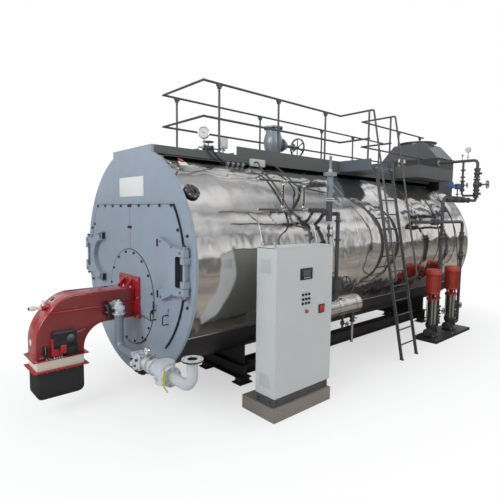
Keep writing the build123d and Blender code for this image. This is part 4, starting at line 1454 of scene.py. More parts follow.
def tray_fittings():
    """Pressure gauge, limit switch, syphon, small valve and hoses on the tray."""
    top = deck_z + 0.012
    y, valve_y, box_y = behind(0.900), behind(1.05), behind(1.245)
    x, manifold_x = 0.430, 0.33
    dial_gauge(
        "pressure_gauge", (0.416, y + 0.014, deck_z + 0.270), 0.082, 0.040, (0.74, -0.67, 0)
    )
    syphon = [
        (x, y - 0.02, top), (x, y - 0.02, top + 0.06), (x, y + 0.01, top + 0.09),
        (x, y, top + 0.18), (x, y, deck_z + 0.195)
    ]
    pipe("gauge_syphon", [syphon], 0.009, "valve_silver", 0.03)
    shape = bmesh.new()
    slab(
        shape, (x - 0.040, box_y - 0.065, top + 0.075), (x + 0.040, box_y + 0.065, top + 0.228),
        0.008, 3
    )
    slab(
        shape, (x - 0.046, box_y - 0.045, top + 0.095), (x + 0.046, box_y + 0.045, top + 0.205),
        0.004
    )
    switch = finish_piece("pressure_switch", shape, "instrument_grey")
    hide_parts("pressure_instruments")
    shape = bmesh.new()
    bar(shape, (x, box_y, top), (x, box_y, top + 0.078), 0.012, 16)
    drum_of(shape, aim((x, box_y, top + 0.045)), 0.020, 0.022, 6, 0.002)
    for d in (0.99, 1.10):
        bar(shape, (manifold_x, behind(d), top), (manifold_x, behind(d), top + 0.07), 0.010, 12)
    bar(
        shape, (manifold_x, behind(0.88), top + 0.07), (manifold_x, behind(1.36), top + 0.07),
        0.011, 16
    )
    finish_piece("tray_manifold", shape, "valve_silver")
    shape = bmesh.new()
    flanged_valve(shape, (manifold_x, valve_y, top + 0.070), (0, 1, 0), 0.070, 0.022, 0.048, 0.012)
    bar(shape, (manifold_x, valve_y, top + 0.07), (manifold_x, valve_y, top + 0.150), 0.009, 12)
    wheel(shape, aim((manifold_x, valve_y, top + 0.160)), 0.085, 0.007)
    for d in (1.27, 1.33):
        bar(
            shape, (manifold_x, behind(d), top + 0.06), (manifold_x, behind(d), top + 0.115),
            0.008, 10
        )
        slab(
            shape, (0.322, behind(d) - 0.03, top + 0.112), (0.338, behind(d) + 0.03, top + 0.122),
            0.002
        )
    finish_piece("tray_valve", shape, "wheel_paint")
    shape = bmesh.new()
    for yk in (behind(0.76), behind(1.382)):
        slab(shape, (0.142, yk, top), (0.508, yk + 0.006, top + 0.022), 0.001)
    finish_piece("tray_rims", shape, "tray_zinc")
    lines = [
        [
            (0.505, behind(0.83), top + 0.012), (0.575, behind(0.84), top + 0.008),
            (0.585, behind(0.90), 3.300), (0.590, behind(1.00), 3.235),
            (0.585, behind(1.12), 3.192), (0.580, behind(1.30), 3.185)
        ],
        [
            (0.505, behind(0.95), top + 0.012), (0.572, behind(0.96), top + 0.006),
            (0.580, behind(1.02), 3.290), (0.582, behind(1.14), 3.222),
            (0.580, behind(1.28), 3.215)
        ],
    ]
    pipe("tray_lines", lines, 0.008, "control_black", 0.08)
    shape = bmesh.new()
    for k in range(4):
        y = behind(1.20 + 0.095 * k)
        slab(shape, (0.560, y - 0.018, 3.180), (0.612, y + 0.018, 3.232), 0.004)
        drum_of(shape, aim((0.612, y, 3.206), (1, 0, 0)), 0.012, 0.022, 14, 0.002)
    finish_piece("transmitter_valves", shape, "valve_silver")


def safety_pair():
    """Spring safety valves with their caps, levers and bolted outlets."""
    shape = bmesh.new()
    nuts = bmesh.new()
    x = 0.200
    for d in (6.700, 6.950):
        y = behind(d)
        outline = [
            (0.074, 0), (0.074, 0.018), (0.050, 0.022), (0.046, 0.07), (0.060, 0.10),
            (0.066, 0.14), (0.066, 0.18)
        ]
        outline += [
            (0.074, 0.184), (0.074, 0.200), (0.042, 0.206), (0.038, 0.26), (0.038, 0.36),
            (0.044, 0.368)
        ]
        outline += [(0.044, 0.385), (0.026, 0.392), (0.026, 0.455), (0.018, 0.465)]
        turned(shape, aim((x, y, deck_z)), outline, 28)
        turned(
            shape, aim((x, y, deck_z + 0.130), (1, 0, 0)),
            [(0.042, 0), (0.042, 0.105), (0.068, 0.108), (0.068, 0.126)], 24
        )
        bar(shape, (x, y + 0.02, deck_z + 0.42), (x, y - 0.12, deck_z + 0.44), 0.007, 10)
        flange_nuts(nuts, (x, y, deck_z + 0.192), (0, 0, 1), 0.060, 6, 0.014, 0.016)
        flange_nuts(nuts, (0.317, y, deck_z + 0.130), (1, 0, 0), 0.056, 4, 0.014, 0.016)
    piece = finish_piece("relief_valves", shape, "valve_brass", smooth=40)
    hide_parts("safety_valves")
    finish_piece("relief_valve_nuts", nuts, "zinc")


def level_fittings():
    """Cocks, valves, glass guards, probe head and drain cocks of the level gauges."""
    x, y = column_x, behind(2.285)
    glasses = (1.318, 1.724)
    brass = bmesh.new()
    dark = bmesh.new()
    for z, up in ((2.910, -1), (2.545, 1)):
        for d in glasses:
            yg = behind(d)
            seat = aim((x, yg, z - up * 0.02), (0, 0, up))
            turned(
                brass, seat,
                [
                    (0.016, 0), (0.024, 0.008), (0.024, 0.036), (0.018, 0.040), (0.026, 0.050),
                    (0.026, 0.074), (0.016, 0.080)
                ],
                18
            )
            bar(brass, (x, yg, z), (x + 0.050, yg, z), 0.008, 12)
            slab(
                brass, (x + 0.046, yg - 0.028, z - 0.006), (x + 0.054, yg + 0.028, z + 0.006),
                0.002
            )
            for s in (-0.06, 0.06):
                drum_of(brass, aim((x, yg + s - 0.010, z), (0, 1, 0)), 0.021, 0.020, 6, 0.002)
        for d in (1.905, 2.075):
            yv = behind(d)
            turned(
                dark, aim((x, yv - 0.045, z), (0, 1, 0)),
                [
                    (0.034, 0), (0.034, 0.012), (0.018, 0.014), (0.030, 0.045), (0.018, 0.076),
                    (0.034, 0.078), (0.034, 0.090)
                ],
                20
            )
            bar(dark, (x, yv, z), (x + 0.062, yv, z), 0.008, 10)
            wheel(dark, aim((x + 0.064, yv, z), (1, 0, 0)), 0.036, 0.005, 4)
        drum_of(brass, aim((x, behind(0.878), z), (0, -1, 0)), 0.018, 0.016, 6, 0.002)
    finish_piece("gauge_cocks", brass, "valve_brass")
    finish_piece("gauge_header_valves", dark, "pipe_steel")
    shape = bmesh.new()
    for d in glasses:
        for s in (-0.018, 0.018):
            bar(shape, (x, behind(d) + s, 2.600), (x, behind(d) + s, 2.856), 0.0035, 8)
    finish_piece("gauge_glass_guards", shape, "valve_brass")
    shape = bmesh.new()
    turned(
        shape, aim((x, y, 3.040)),
        [
            (0.088, 0), (0.094, 0.006), (0.094, 0.020), (0.080, 0.023), (0.094, 0.026),
            (0.094, 0.048), (0.060, 0.052), (0.030, 0.060), (0.026, 0.10)
        ],
        36
    )
    for z in (2.68, 2.71):
        turned(shape, aim((x, y, z)), [(0.072, 0), (0.072, 0.018)], 32)
    turned(shape, aim((x, y, 2.345)), [(0.018, 0), (0.030, 0.012), (0.046, 0.046)], 28)
    finish_piece("level_column_flanges", shape, "gas_paint")
    nuts = bmesh.new()
    flange_nuts(nuts, (x, y, 3.063), (0, 0, 1), 0.080, 8, 0.014, 0.044)
    flange_nuts(nuts, (x, y, 2.704), (0, 0, 1), 0.059, 6, 0.011, 0.048)
    finish_piece("level_column_nuts", nuts, "frame_paint")
    shape = bmesh.new()
    for z in (2.295, 2.187):
        turned(
            shape, aim((x, y, z - 0.026)),
            [(0.018, 0), (0.028, 0.008), (0.028, 0.044), (0.018, 0.052)], 16
        )
        bar(shape, (x, y, z), (x + 0.07, y, z), 0.007, 10)
        bar(shape, (x + 0.066, y, z - 0.030), (x + 0.066, y, z + 0.030), 0.006, 8)
    turned(shape, aim((x, y, 2.075), (0, 0, -1)), [(0.020, 0), (0.020, 0.016), (0.014, 0.02)], 12)
    finish_piece("column_drain_cocks", shape, "pipe_steel")


def drain_fittings():
    """Flanges of the drain valve, straps and dished ends of the drum, drum cock."""
    x, y = column_x, behind(2.500)
    shape = bmesh.new()
    for z in (1.345, 1.537):
        turned(shape, aim((x, y, z)), [(0.080, 0), (0.080, 0.018)], 32)
        flange_nuts(shape, (x, y, z + 0.009), (0, 0, 1), 0.064, 4, 0.017, 0.018)
    turned(
        shape, aim((x, y + 0.06, 1.450), (0, 1, 0)),
        [
            (0.050, 0), (0.050, 0.030), (0.062, 0.034), (0.062, 0.052), (0.030, 0.056),
            (0.024, 0.100)
        ],
        28
    )
    for z in (2.38, 2.10):
        turned(shape, aim((x, y, z)), [(0.050, 0), (0.050, 0.028)], 24)
    finish_piece("drain_valve_flanges", shape, "pipe_steel")
    low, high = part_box("sample_drum")
    drum_z = 1.090
    shape = bmesh.new()
    for end, way in ((low.y, -1), (high.y, 1)):
        turned(
            shape, aim((drum_x, end - way * 0.02, drum_z), (0, way, 0)),
            [(0.1505, 0), (0.1505, 0.019), (0.140, 0.0215)], 48
        )
    for share in (0.12, 0.5, 0.88):
        yk = low.y + share * (high.y - low.y)
        turned(
            shape, aim((drum_x, yk - 0.012, drum_z), (0, 1, 0)), [(0.1512, 0), (0.1512, 0.024)], 48
        )
    finish_piece("drum_straps", shape, "pump_steel")
    shape = bmesh.new()
    yk = behind(2.720)
    turned(
        shape, aim((drum_x, yk, 0.945), (0, 0, -1)),
        [
            (0.030, 0), (0.030, 0.02), (0.018, 0.024), (0.018, 0.10), (0.032, 0.104),
            (0.032, 0.16), (0.018, 0.164), (0.018, 0.22)
        ],
        18
    )
    cock_z, leg_z = 0.81, 0.86
    bar(shape, (drum_x, yk, cock_z), (1.665, yk, cock_z), 0.008, 10)
    wheel(shape, aim((1.668, yk, cock_z), (1, 0, 0)), 0.042, 0.006, 4)
    flanged_valve(shape, (drum_x, drum_leg_y, leg_z), (0, 0, 1), 0.062, 0.022, 0.045, 0.011)
    bar(shape, (drum_x, drum_leg_y, leg_z), (1.650, drum_leg_y, leg_z), 0.007, 10)
    slab(shape, (1.648, behind(2.955), 0.852), (1.656, behind(3.015), 0.868), 0.002)
    finish_piece("drum_cocks", shape, "pipe_steel")


# Pumps and feed pipes


def pumps():
    """Vertical feed pumps: foot, bright sleeve with ties, lantern and finned motor."""
    x, port_z = feed_x, 0.165
    casting = bmesh.new()
    sleeve = bmesh.new()
    lantern = bmesh.new()
    motor = bmesh.new()
    fan = bmesh.new()
    ties = bmesh.new()
    ends = bmesh.new()
    for y in pump_places:
        plate(casting, (x - 0.115, y - 0.115, 0.055), (x + 0.115, y + 0.115, 0.080), 2, 0.030)
        turned(
            casting, aim((x, y, 0.080)),
            [
                (0.090, 0), (0.082, 0.03), (0.082, 0.13), (0.104, 0.16), (0.112, 0.20),
                (0.112, 0.235)
            ],
            36
        )
        for way in (-1, 1):
            outline = [(0.044, 0), (0.044, 0.062), (0.050, 0.10)]
            turned(casting, aim((x, y + way * 0.02, port_z), (0, way, 0)), outline, 24)
        turned(sleeve, aim((x, y, 0.312)), [(0.086, 0), (0.086, 0.50)], 48)
        for k in range(4):
            turn = radians(45 + 90 * k)
            tx, ty = x + 0.104 * cos(turn), y + 0.104 * sin(turn)
            bar(ties, (tx, ty, 0.250), (tx, ty, 0.850), 0.008, 10)
            nut(ties, aim((tx, ty, 0.842)), 0.022)
        turned(lantern, aim((x, y, 0.806)), [(0.116, 0), (0.116, 0.034), (0.094, 0.040)], 36)
        for k in range(4):
            turn = radians(90 * k)
            bar(lantern, (x + 0.076 * cos(turn), y + 0.076 * sin(turn), 0.835),
                (x + 0.084 * cos(turn), y + 0.084 * sin(turn), 0.945), 0.020, 8)
        bar(ties, (x, y, 0.84), (x, y, 0.94), 0.016, 16)
        turned(
            lantern, aim((x, y, 0.915)),
            [(0.098, 0), (0.118, 0.012), (0.136, 0.018), (0.136, 0.036)], 36
        )
        turned(
            motor, aim((x, y, 0.950)),
            [(0.138, 0), (0.138, 0.016), (0.124, 0.020), (0.124, 0.372)], 40
        )
        for k in range(28):
            turn = 2 * pi * k / 28
            seat = Matrix.Translation((x, y, 1.143)) @ Matrix.Rotation(turn, 4, "Z")
            block(motor, seat @ Matrix.Translation((0.129, 0, 0)), (0.022, 0.005, 0.335))
        cap = [
            (0.136, 0), (0.147, 0.008), (0.149, 0.03), (0.149, 0.075), (0.142, 0.098),
            (0.120, 0.112), (0.07, 0.118), (0.03, 0.119)
        ]
        turned(fan, aim((x, y, 1.312)), cap, 44)
        slab(motor, (x - 0.055, y + 0.115, 1.010), (x + 0.055, y + 0.190, 1.120), 0.008, 3)
        drum_of(ends, aim((x, y + 0.190, 1.065), (0, 1, 0)), 0.030, 0.010, 20, 0.002)
        drum_of(ends, aim((x + 0.03, y + 0.15, 1.010), (0, 0, -1)), 0.013, 0.028, 14, 0.002)
        drum_of(ends, aim((x - 0.03, y + 0.15, 1.010), (0, 0, -1)), 0.013, 0.028, 14, 0.002)
    body = finish_piece("pump_castings", casting, "frame_paint", smooth=40)
    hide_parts("pump_bodies")
    case = finish_piece("pump_motor_cases", motor, "pump_orange", smooth=40)
    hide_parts("pump_motors")
    finish_piece("pump_sleeves", sleeve, "pump_steel", smooth=40)
    finish_piece("pump_ties", ties, "frame_paint")
    finish_piece("pump_lanterns", lantern, "burner_red", smooth=40)
    finish_piece("pump_fan_cowls", fan, "pump_orange", smooth=40)
    finish_piece("pump_glands", ends, "instrument_grey")
    dark = bmesh.new()
    for y in pump_places:
        inlet_y, riser_y = y - 0.150, y + 0.250
        turned(
            dark, aim((x, y - 0.100, port_z), toward),
            [(0.075, 0), (0.075, 0.018), (0.04, 0.02), (0.052, 0.05), (0.052, 0.07)], 32
        )
        flanged_valve(dark, (x, inlet_y, port_z), (0, 1, 0), 0.048, 0.030, 0.072, 0.016)
        turned(dark, aim((x, y + 0.118, port_z), (0, 1, 0)), [(0.075, 0), (0.075, 0.018)], 32)
        bar(dark, (x, inlet_y, port_z), (x + 0.105, inlet_y, port_z), 0.009, 10)
        slab(dark, (x + 0.100, y - 0.16, 0.158), (x + 0.110, y - 0.06, 0.172), 0.002)
        flanged_valve(dark, (x, riser_y, 0.56), (0, 0, 1), 0.085, 0.030, 0.066, 0.016)
        bar(dark, (x, riser_y, 0.56), (x + 0.11, riser_y, 0.56), 0.009, 10)
        wheel(dark, aim((x + 0.114, riser_y, 0.56), (1, 0, 0)), 0.066, 0.007)
        flanged_valve(dark, (x, riser_y, 0.36), (0, 0, 1), 0.070, 0.030, 0.066, 0.016)
    finish_piece("pump_valves", dark, "pipe_steel", smooth=40)
    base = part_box("pump_base")
    seats = [aim((px, py, 0.055)) for px in (base[0].x + 0.04, base[1].x - 0.04)
             for py in (base[0].y + 0.06, (base[0].y + base[1].y) / 2, base[1].y - 0.06)]
    seats += [aim((x + a * 0.09, y + b * 0.09, 0.080)) for y in pump_places
              for a in (-1, 1) for b in (-1, 1)]
    bolts("pump_base_bolts", seats, 0.018, "zinc")


def feed_fittings():
    """Flanged valves, actuators, bypass and gauge on the feed pipes."""
    x, turn = feed_x, feed_turn_y
    bypass_x, gauge_x, vent_x = 1.330, 1.420, 1.300
    riser_z, header_z, actuator_z = 3.190, 2.830, 3.045
    actuators_y, check_y = (behind(6.190), behind(6.550)), behind(6.820)
    shape = bmesh.new()
    flanged_valve(shape, (x, turn, riser_z), (0, 0, 1), 0.130, 0.040, 0.074, 0.018)
    turned(
        shape, aim((x + 0.04, turn, riser_z), (1, 0, 0)),
        [(0.040, 0), (0.040, 0.03), (0.052, 0.034), (0.052, 0.052), (0.022, 0.056), (0.018, 0.12)],
        24
    )
    for z in (2.98, 3.52):
        turned(shape, aim((x, turn, z)), [(0.066, 0), (0.066, 0.036)], 28)
        flange_nuts(shape, (x, turn, z + 0.018), (0, 0, 1), 0.052, 4, 0.014, 0.036)
    flanged_valve(shape, (bypass_x, turn, riser_z), (0, 0, 1), 0.100, 0.026, 0.056, 0.014)
    for z in (3.05, 3.36, 3.52):
        turned(shape, aim((bypass_x, turn, z)), [(0.052, 0), (0.052, 0.030)], 24)
    bar(shape, (bypass_x, turn, riser_z), (bypass_x + 0.10, turn, riser_z), 0.008, 10)
    wheel(shape, aim((bypass_x + 0.104, turn, riser_z), (1, 0, 0)), 0.060, 0.006)
    for y in actuators_y:
        flanged_valve(shape, (x, y, header_z), (0, 1, 0), 0.110, 0.036, 0.068, 0.016)
        bar(shape, (x, y, header_z), (x, y, actuator_z), 0.013, 12)
        slab(shape, (x - 0.028, y - 0.028, 2.930), (x + 0.028, y + 0.028, 2.945), 0.003)
    for z, half, size in ((3.440, 0.085, 0.066), (2.985, 0.080, 0.062)):
        flanged_valve(shape, (x, turn, z), (0, 0, 1), half, 0.036, size, 0.016)
        bar(shape, (x, turn, z), (x + 0.085, turn, z), 0.012, 12)
        slab(
            shape, (x + 0.080, turn - 0.028, z - 0.028), (x + 0.094, turn + 0.028, z + 0.028),
            0.004
        )
    flanged_valve(shape, (x, check_y, header_z), (0, 1, 0), 0.080, 0.034, 0.062, 0.015)
    bar(shape, (x, check_y, header_z), (x, check_y, 2.930), 0.009, 10)
    slab(shape, (x - 0.006, behind(6.75), 2.925), (x + 0.006, behind(6.90), 2.937), 0.003)
    for riser_y, z in ((behind(5.900), 2.05), (behind(6.900), 2.05), (behind(6.900), 1.62)):
        flanged_valve(shape, (x, riser_y, z), (0, 0, 1), 0.075, 0.032, 0.058, 0.014)
        bar(shape, (x, riser_y, z), (x + 0.085, riser_y, z), 0.008, 10)
        slab(
            shape, (x + 0.080, riser_y - 0.006, z - 0.05), (x + 0.088, riser_y + 0.006, z + 0.05),
            0.002
        )
    for y in (behind(6.02), behind(6.37), behind(6.74), behind(7.10)):
        turned(shape, aim((x, y, header_z), (0, 1, 0)), [(0.058, 0), (0.058, 0.030)], 24)
    for z in (0.80, 1.55, 2.25):
        turned(shape, aim((x, behind(5.900), z)), [(0.050, 0), (0.050, 0.026)], 24)
    flanged_valve(shape, (x, feed_inlet_y, 2.360), (0, 1, 0), 0.100, 0.034, 0.062, 0.015)
    bar(shape, (x, feed_inlet_y, 2.360), (x, feed_inlet_y, 2.46), 0.009, 10)
    wheel(shape, aim((x, feed_inlet_y, 2.466)), 0.060, 0.006)
    finish_piece("feed_valves", shape, "pipe_steel", smooth=40)
    pipe(
        "feed_bypass", [[(x, turn, 2.950), (bypass_x, turn, 2.950), (bypass_x, turn, 3.740)]],
        0.024, "pipe_steel", 0.06
    )
    shape = bmesh.new()
    for y, size in zip(actuators_y, (1.0, 0.8)):
        slab(
            shape, (x - 0.055 * size, y - 0.075 * size, actuator_z),
            (x + 0.055 * size, y + 0.075 * size, actuator_z + 0.09 * size), 0.012, 3
        )
        turned(
            shape, aim((x, y, actuator_z + 0.088 * size)),
            [(0.056, 0), (0.062, 0.006), (0.062, 0.026), (0.048, 0.042), (0.02, 0.048)], 32
        )
    finish_piece("feed_actuators", shape, "wheel_paint", finish="actuator_blue")
    shape = bmesh.new()
    bar(shape, (gauge_x, turn, 3.765), (gauge_x, turn, 3.930), 0.008, 12)
    drum_of(shape, aim((gauge_x, turn, 3.81)), 0.018, 0.03, 6, 0.002)
    bar(shape, (vent_x, turn, 3.765), (vent_x, turn, 3.85), 0.008, 10)
    drum_of(shape, aim((vent_x, turn, 3.85)), 0.015, 0.05, 12, 0.003)
    slab(shape, (1.26, turn - 0.006, 3.86), (1.34, turn + 0.006, 3.872), 0.002)
    turned(
        shape, aim((0.752, turn, 3.740), (1, 0, 0)), [(0.068, 0), (0.068, 0.018), (0.045, 0.03)],
        28
    )
    finish_piece("feed_gauge_stem", shape, "valve_silver")
    dial_gauge("feed_gauge", (gauge_x, turn + 0.014, 3.985), 0.058, 0.030)
    shape = bmesh.new()
    slab(shape, (1.560, behind(6.06), 2.560), (1.625, behind(6.14), 2.650), 0.006, 3)
    finish_piece("feed_switch_box", shape, "control_black")


# Flue and back


def flue_details():
    """Bolts of the flue flange, stiffened lip, clean-out doors and their clamps."""
    low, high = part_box("rear_smokebox")
    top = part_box("flue_hood")[1].z
    middle = (low.y + high.y) / 2
    bolts(
        "flue_flange_bolts", ring((0, middle, top - 0.015), (0, 0, -1), 0.435, 20), 0.022,
        "hood_paint"
    )
    shape = bmesh.new()
    z = high.z
    slab(shape, (-0.778, low.y - 0.004, z - 0.006), (0.778, high.y + 0.012, z + 0.006), 0.002)
    finish_piece("hood_lip", shape, "hood_paint")
    seats = []
    for k in range(12):
        y = low.y + 0.04 + k * 0.075
        seats += [aim((side * 0.765, y, z + 0.006)) for side in (-1, 1)]
    bolts("hood_lip_bolts", seats, 0.014, "zinc")
    shape = bmesh.new()
    cover_z, tall, wide = 2.42, 1.14, 0.615
    for side in (-1, 1):
        x = side * 0.375
        plate(
            shape, (x - wide / 2, high.y - 0.001, cover_z - tall / 2),
            (x + wide / 2, high.y + 0.0135, cover_z + tall / 2), 1, 0.06
        )
        for z in (-0.42, 0.0, 0.42):
            slab(
                shape, (x + side * 0.27 - 0.02, high.y, cover_z + z - 0.045),
                (x + side * 0.27 + 0.02, high.y + 0.0145, cover_z + z + 0.045), 0.003
            )
    finish_piece("clean_out_doors", shape, "hood_paint", smooth=40)


def rear_fixings():
    """Bolts round the rear plate and a blind cover on it."""
    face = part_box("rear_plate")[1].y
    seats = []
    for k in range(44):
        turn = 2 * pi * k / 44
        x, z = 1.44 * cos(turn), axis_z + 1.44 * sin(turn)
        if abs(x) > 0.80 or z < 1.46:
            seats.append(aim((x, face, z), (0, 1, 0)))
    bolts("rear_plate_bolts", seats, 0.026, "frame_paint")
    shape = bmesh.new()
    turned(
        shape, aim((0, face, 0.98), (0, 1, 0)),
        [(0.24, 0), (0.24, 0.012), (0.205, 0.016), (0.205, 0.045)], 48
    )
    finish_piece("rear_inspection_cover", shape, "plate_paint", smooth=40)
    bolts(
        "rear_cover_bolts", ring((0, face + 0.012, 0.98), (0, 1, 0), 0.222, 12), 0.020,
        "frame_paint"
    )


# Wiring


def wiring():
    """Junction box under the deck's edge and the conduits from it."""
    shape = bmesh.new()
    y0 = behind(1.640)
    slab(shape, (0.562, y0, 3.205), (0.618, y0 + 0.290, 3.315), 0.006, 3)
    slab(shape, (0.617, y0 + 0.010, 3.215), (0.626, y0 + 0.280, 3.305), 0.003)
    finish_piece("junction_box", shape, "cabinet_paint")
    shape = bmesh.new()
    for y in (y0 + 0.025, y0 + 0.265):
        for z in (3.228, 3.292):
            drum_of(shape, aim((0.626, y, z), (1, 0, 0)), 0.006, 0.003, 12, 0.001)
    finish_piece("junction_box_screws", shape, "zinc")
    y, side_y, box_z = y0 + 0.060, behind(2.165), 3.26
    down = [(0.618, y, box_z), (0.70, y, box_z)] + [
        on_shell(90 - a, y, 0.034) for a in (31, 38, 46, 54, 62, 70)
    ]
    down += [(1.745, y, 2.30), (1.745, y, 2.098)]
    deck = [(0.590, y0 + 0.290, box_z), (0.590, side_y, box_z)]
    deck += [on_shell(90 - a, side_y, 0.034) for a in (30, 37, 44)]
    deck += [(1.60, side_y, 2.80), (1.60, behind(2.245), 2.80)]
    pipe("conduits", [down, deck], 0.013, "pipe_steel", 0.10)
    shape = bmesh.new()
    for a in (34, 50, 66):
        turn = 90 - a
        seat = aim(on_shell(turn, y, 0.0), outward(turn))
        bar(shape, seat @ Vector((0, 0, 0.0)), seat @ Vector((0, 0, 0.036)), 0.009, 8)
        hoop(
            shape,
            aim(on_shell(turn, y, 0.034), Vector((sin(radians(turn)), 0, -cos(radians(turn))))),
            0.013, 0.005, 16, 6
        )
    finish_piece("conduit_clips", shape, "zinc")
    second_y, first_y = behind(6.99), behind(6.20)
    second = [
        (1.670, behind(6.650), 0.985), (1.68, behind(6.80), 0.93), (1.60, behind(6.95), 1.10),
        (1.535, second_y, 1.60), on_shell(12, second_y, 0.02), on_shell(30, second_y, 0.02),
        on_shell(46, behind(6.97), 0.02)
    ]
    first = [
        (1.670, behind(5.800), 0.985), (1.68, behind(5.86), 0.92), (1.60, behind(6.10), 1.00),
        (1.56, first_y, 1.50)
    ]
    first += [on_shell(a, first_y, 0.02) for a in (8, 26, 44)]
    pipe("pump_conduits", [second, first], 0.008, "frame_paint", 0.12)


make_finishes()
dress_frame()
for build in (
    front_fixings,
    door_gap_shades,
    handle_fixings,
    name_plate,
    cladding_bands,
    inspection_cover,
    shoulder_fitting,
    burner,
    burner_side,
    throttle,
    gas_valves,
    cabinet_panel,
    cabinet_trim,
    rail_clamps,
    deck_bearers,
    ladder_fixings,
    steam_fittings,
    tray_fittings,
    safety_pair,
    level_fittings,
    drain_fittings,
    pumps,
    feed_fittings,
    flue_details,
    rear_fixings,
    wiring,
):
    build()


# Camera, lights and floor


def make_camera():
    """The photograph's view: where it stands, which way it looks and its focal length."""
    place = Vector((5.396, -3.937, 2.505))
    yaw, pitch, roll = radians(48.275), radians(-5.105), radians(0.685)
    forward = Vector((-sin(yaw) * cos(pitch), cos(yaw) * cos(pitch), sin(pitch)))
    level = Vector((cos(yaw), sin(yaw), 0))
    above = level.cross(forward)
    right = level * cos(roll) + above * sin(roll)
    up = above * cos(roll) - level * sin(roll)
    data = bpy.data.cameras.new("photo_camera")
    data.sensor_width = 36.0
    data.lens = 30.21
    camera = bpy.data.objects.new("photo_camera", data)
    turned_to = Matrix((right, up, -forward)).transposed().to_4x4()
    camera.matrix_world = Matrix.Translation(place) @ turned_to
    bpy.context.scene.collection.objects.link(camera)
    bpy.context.scene.camera = camera


def soft_light(name, place, target, size, power, colour):
    """A rectangular lamp turned to a target."""
    data = bpy.data.lights.new(name, "AREA")
    data.shape = "RECTANGLE"
    data.size, data.size_y = size
    data.energy = power
    data.color = colour
    made = bpy.data.objects.new(name, data)
    toward_target = Vector(target) - Vector(place)
    turned_to = toward_target.to_track_quat("-Z", "Y").to_matrix().to_4x4()
    made.matrix_world = Matrix.Translation(place) @ turned_to
    bpy.context.scene.collection.objects.link(made)


def seen_by(tree, rays):
    """1 for the light paths named, 0 for the rest."""
    path = tree.nodes.new("ShaderNodeLightPath")
    seen = path.outputs[rays[0]]
    for ray in rays[1:]:
        either = tree.nodes.new("ShaderNodeMath")
        either.operation = "MAXIMUM"
        tree.links.new(seen, either.inputs[0])
        tree.links.new(path.outputs[ray], either.inputs[1])
        seen = either.outputs[0]
    return seen


def make_world():
    """White for the camera and for reflections, a softer grey as light."""
    world = bpy.data.worlds.new("studio")
    world.use_nodes = True
    bpy.context.scene.world = world
    tree = world.node_tree
    mix = tree.nodes.new("ShaderNodeMix")
    mix.data_type = "RGBA"
    mix.inputs[6].default_value = (0.40, 0.42, 0.45, 1)
    mix.inputs[7].default_value = (1, 1, 1, 1)
    rays = ("Is Camera Ray", "Is Glossy Ray", "Is Transmission Ray")
    tree.links.new(seen_by(tree, rays), mix.inputs[0])
    tree.links.new(mix.outputs[2], tree.nodes["Background"].inputs["Color"])


def flat_mesh(name, corners):
    """One flat panel of the stage."""
    shape = bmesh.new()
    shape.faces.new([shape.verts.new(corner) for corner in corners])
    mesh = bpy.data.meshes.new(name)
    shape.to_mesh(mesh)
    shape.free()
    made = bpy.data.objects.new(name, mesh)
    bpy.context.scene.collection.objects.link(made)
    return made


def level_panel(x, low_y, high_y, z):
    """Corners of a level panel, 2 x wide."""
    return [(-x, low_y, z), (x, low_y, z), (x, high_y, z), (-x, high_y, z)]


def upright_panel(start, end, low, high):
    """Corners of an upright panel between two places on the floor."""
    return [(*start, low), (*end, low), (*end, high), (*start, high)]


def make_floor():
    """Pale floor that keeps the shadow near the boiler and fades to white round it."""
    reach = 60.0
    floor = flat_mesh("floor", level_panel(reach, -reach, reach, 0))
    finish = Finish("pale_floor", (0.86, 0.86, 0.86, 1), 0.7)
    tone = finish.noise(0.6, 3.0)
    finish.set("Base Color", finish.mixed(tone, (0.84, 0.84, 0.84, 1), (0.90, 0.90, 0.90, 1)))
    x, y = finish.axes()[:2]
    across = (x - 0.3) / 3.6
    along = (y - 2.2) / 6.4
    away = (across * across + along * along - 0.1).at_least(0.0).at_most(1.0)
    tree = finish.material.node_tree
    camera_only = Signal(finish, seen_by(tree, ("Is Camera Ray",)))
    white = tree.nodes.new("ShaderNodeEmission")
    white.inputs["Color"].default_value = (1, 1, 1, 1)
    share = tree.nodes.new("ShaderNodeMixShader")
    faded = (away * 0.45 + 0.55) * camera_only
    tree.links.new(faded.socket, share.inputs[0])
    tree.links.new(finish.shader.outputs[0], share.inputs[1])
    tree.links.new(white.outputs[0], share.inputs[2])
    tree.links.new(share.outputs[0], tree.nodes["Material Output"].inputs["Surface"])
    floor.data.materials.append(finish.material)


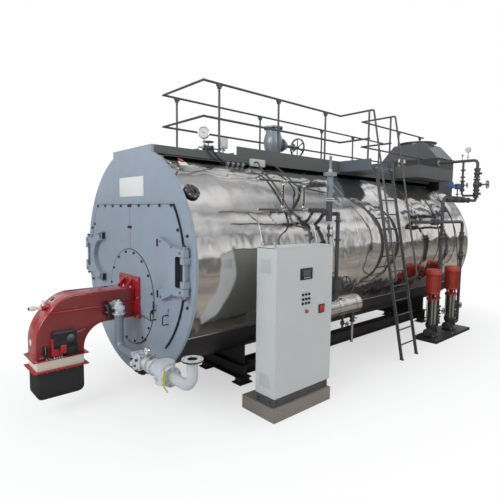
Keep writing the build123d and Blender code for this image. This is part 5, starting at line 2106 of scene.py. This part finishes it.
def card(name, corners, dark, light, scale, stretch, low=0.35, high=0.68):
    """A panel that only reflections see, in patches of two tones."""
    made = flat_mesh(name, corners)
    finish = Finish(name, dark, 1.0)
    patches = finish.ramp(
        finish.noise(scale, 3.0, 0.5, finish.stretched(*stretch)), (low, 0.0), (high, 1.0)
    )
    tree = finish.material.node_tree
    glow = tree.nodes.new("ShaderNodeEmission")
    tree.links.new(finish.mixed(patches, dark, light).socket, glow.inputs["Color"])
    tree.links.new(glow.outputs[0], tree.nodes["Material Output"].inputs["Surface"])
    made.data.materials.append(finish.material)
    made.visible_camera = False
    made.visible_diffuse = False
    made.visible_transmission = False
    made.visible_shadow = False


def make_hall():
    """What the bright cladding mirrors: floor, low dark walls and a roof with skylights."""
    x, y0, y1 = 14.0, -16.0, 30.0
    wall, roof = 3.4, 9.0
    right, left = ((x, y0), (x, y1)), ((-x, y0), (-x, y1))
    back, front = ((-x, y1), (x, y1)), ((-x, y0), (x, y0))
    card(
        "hall_floor", level_panel(x, y0, y1, 0.004), (0.24, 0.22, 0.20, 1),
        (0.52, 0.48, 0.43, 1), 0.5, (1.0, 0.6, 1.0)
    )
    # Painted shadow: a dark strip of the floor under and beside the boiler, for the boiler's
    # shadow, seen only in reflections
    card(
        "hall_floor_shadow", level_panel(2.3, y0 + 12, 9.5, 0.006), (0.035, 0.034, 0.034, 1),
        (0.13, 0.12, 0.115, 1), 0.6, (1.0, 0.5, 1.0)
    )
    for name, side in (("right", right), ("left", left), ("back", back), ("front", front)):
        card(
            "hall_" + name, upright_panel(*side, 0, wall), (0.06, 0.058, 0.056, 1),
            (0.50, 0.48, 0.45, 1), 0.8, (1.0, 1.0, 0.3)
        )
    for name, side in (("right", right), ("left", left)):
        card(
            "windows_" + name, upright_panel(*side, wall, roof), (0.26, 0.27, 0.29, 1),
            (1.0, 1.0, 1.0, 1), 0.45, (1.0, 1.0, 0.35), 0.38, 0.62
        )
    card(
        "hall_roof", level_panel(x, y0, y1, roof), (0.30, 0.31, 0.33, 1), (1.0, 1.0, 1.0, 1), 0.30,
        (1.0, 0.45, 1.0), 0.36, 0.60
    )


make_camera()
make_world()
make_floor()
make_hall()
soft_light("window_light", (1.5, -11.0, 7.0), (0.5, 0.0, 1.6), (8.0, 5.0), 860, (0.95, 0.98, 1.0))
soft_light("side_light", (11.0, 1.0, 6.5), (0, 2.5, 1.5), (6.0, 5.0), 300, (1.0, 0.98, 0.95))
soft_light("roof_light", (0.0, 3.5, 11.0), (0, 3.5, 0), (9.0, 9.0), 480, (1.0, 1.0, 1.0))
bpy.context.scene.view_settings.view_transform = "Standard"
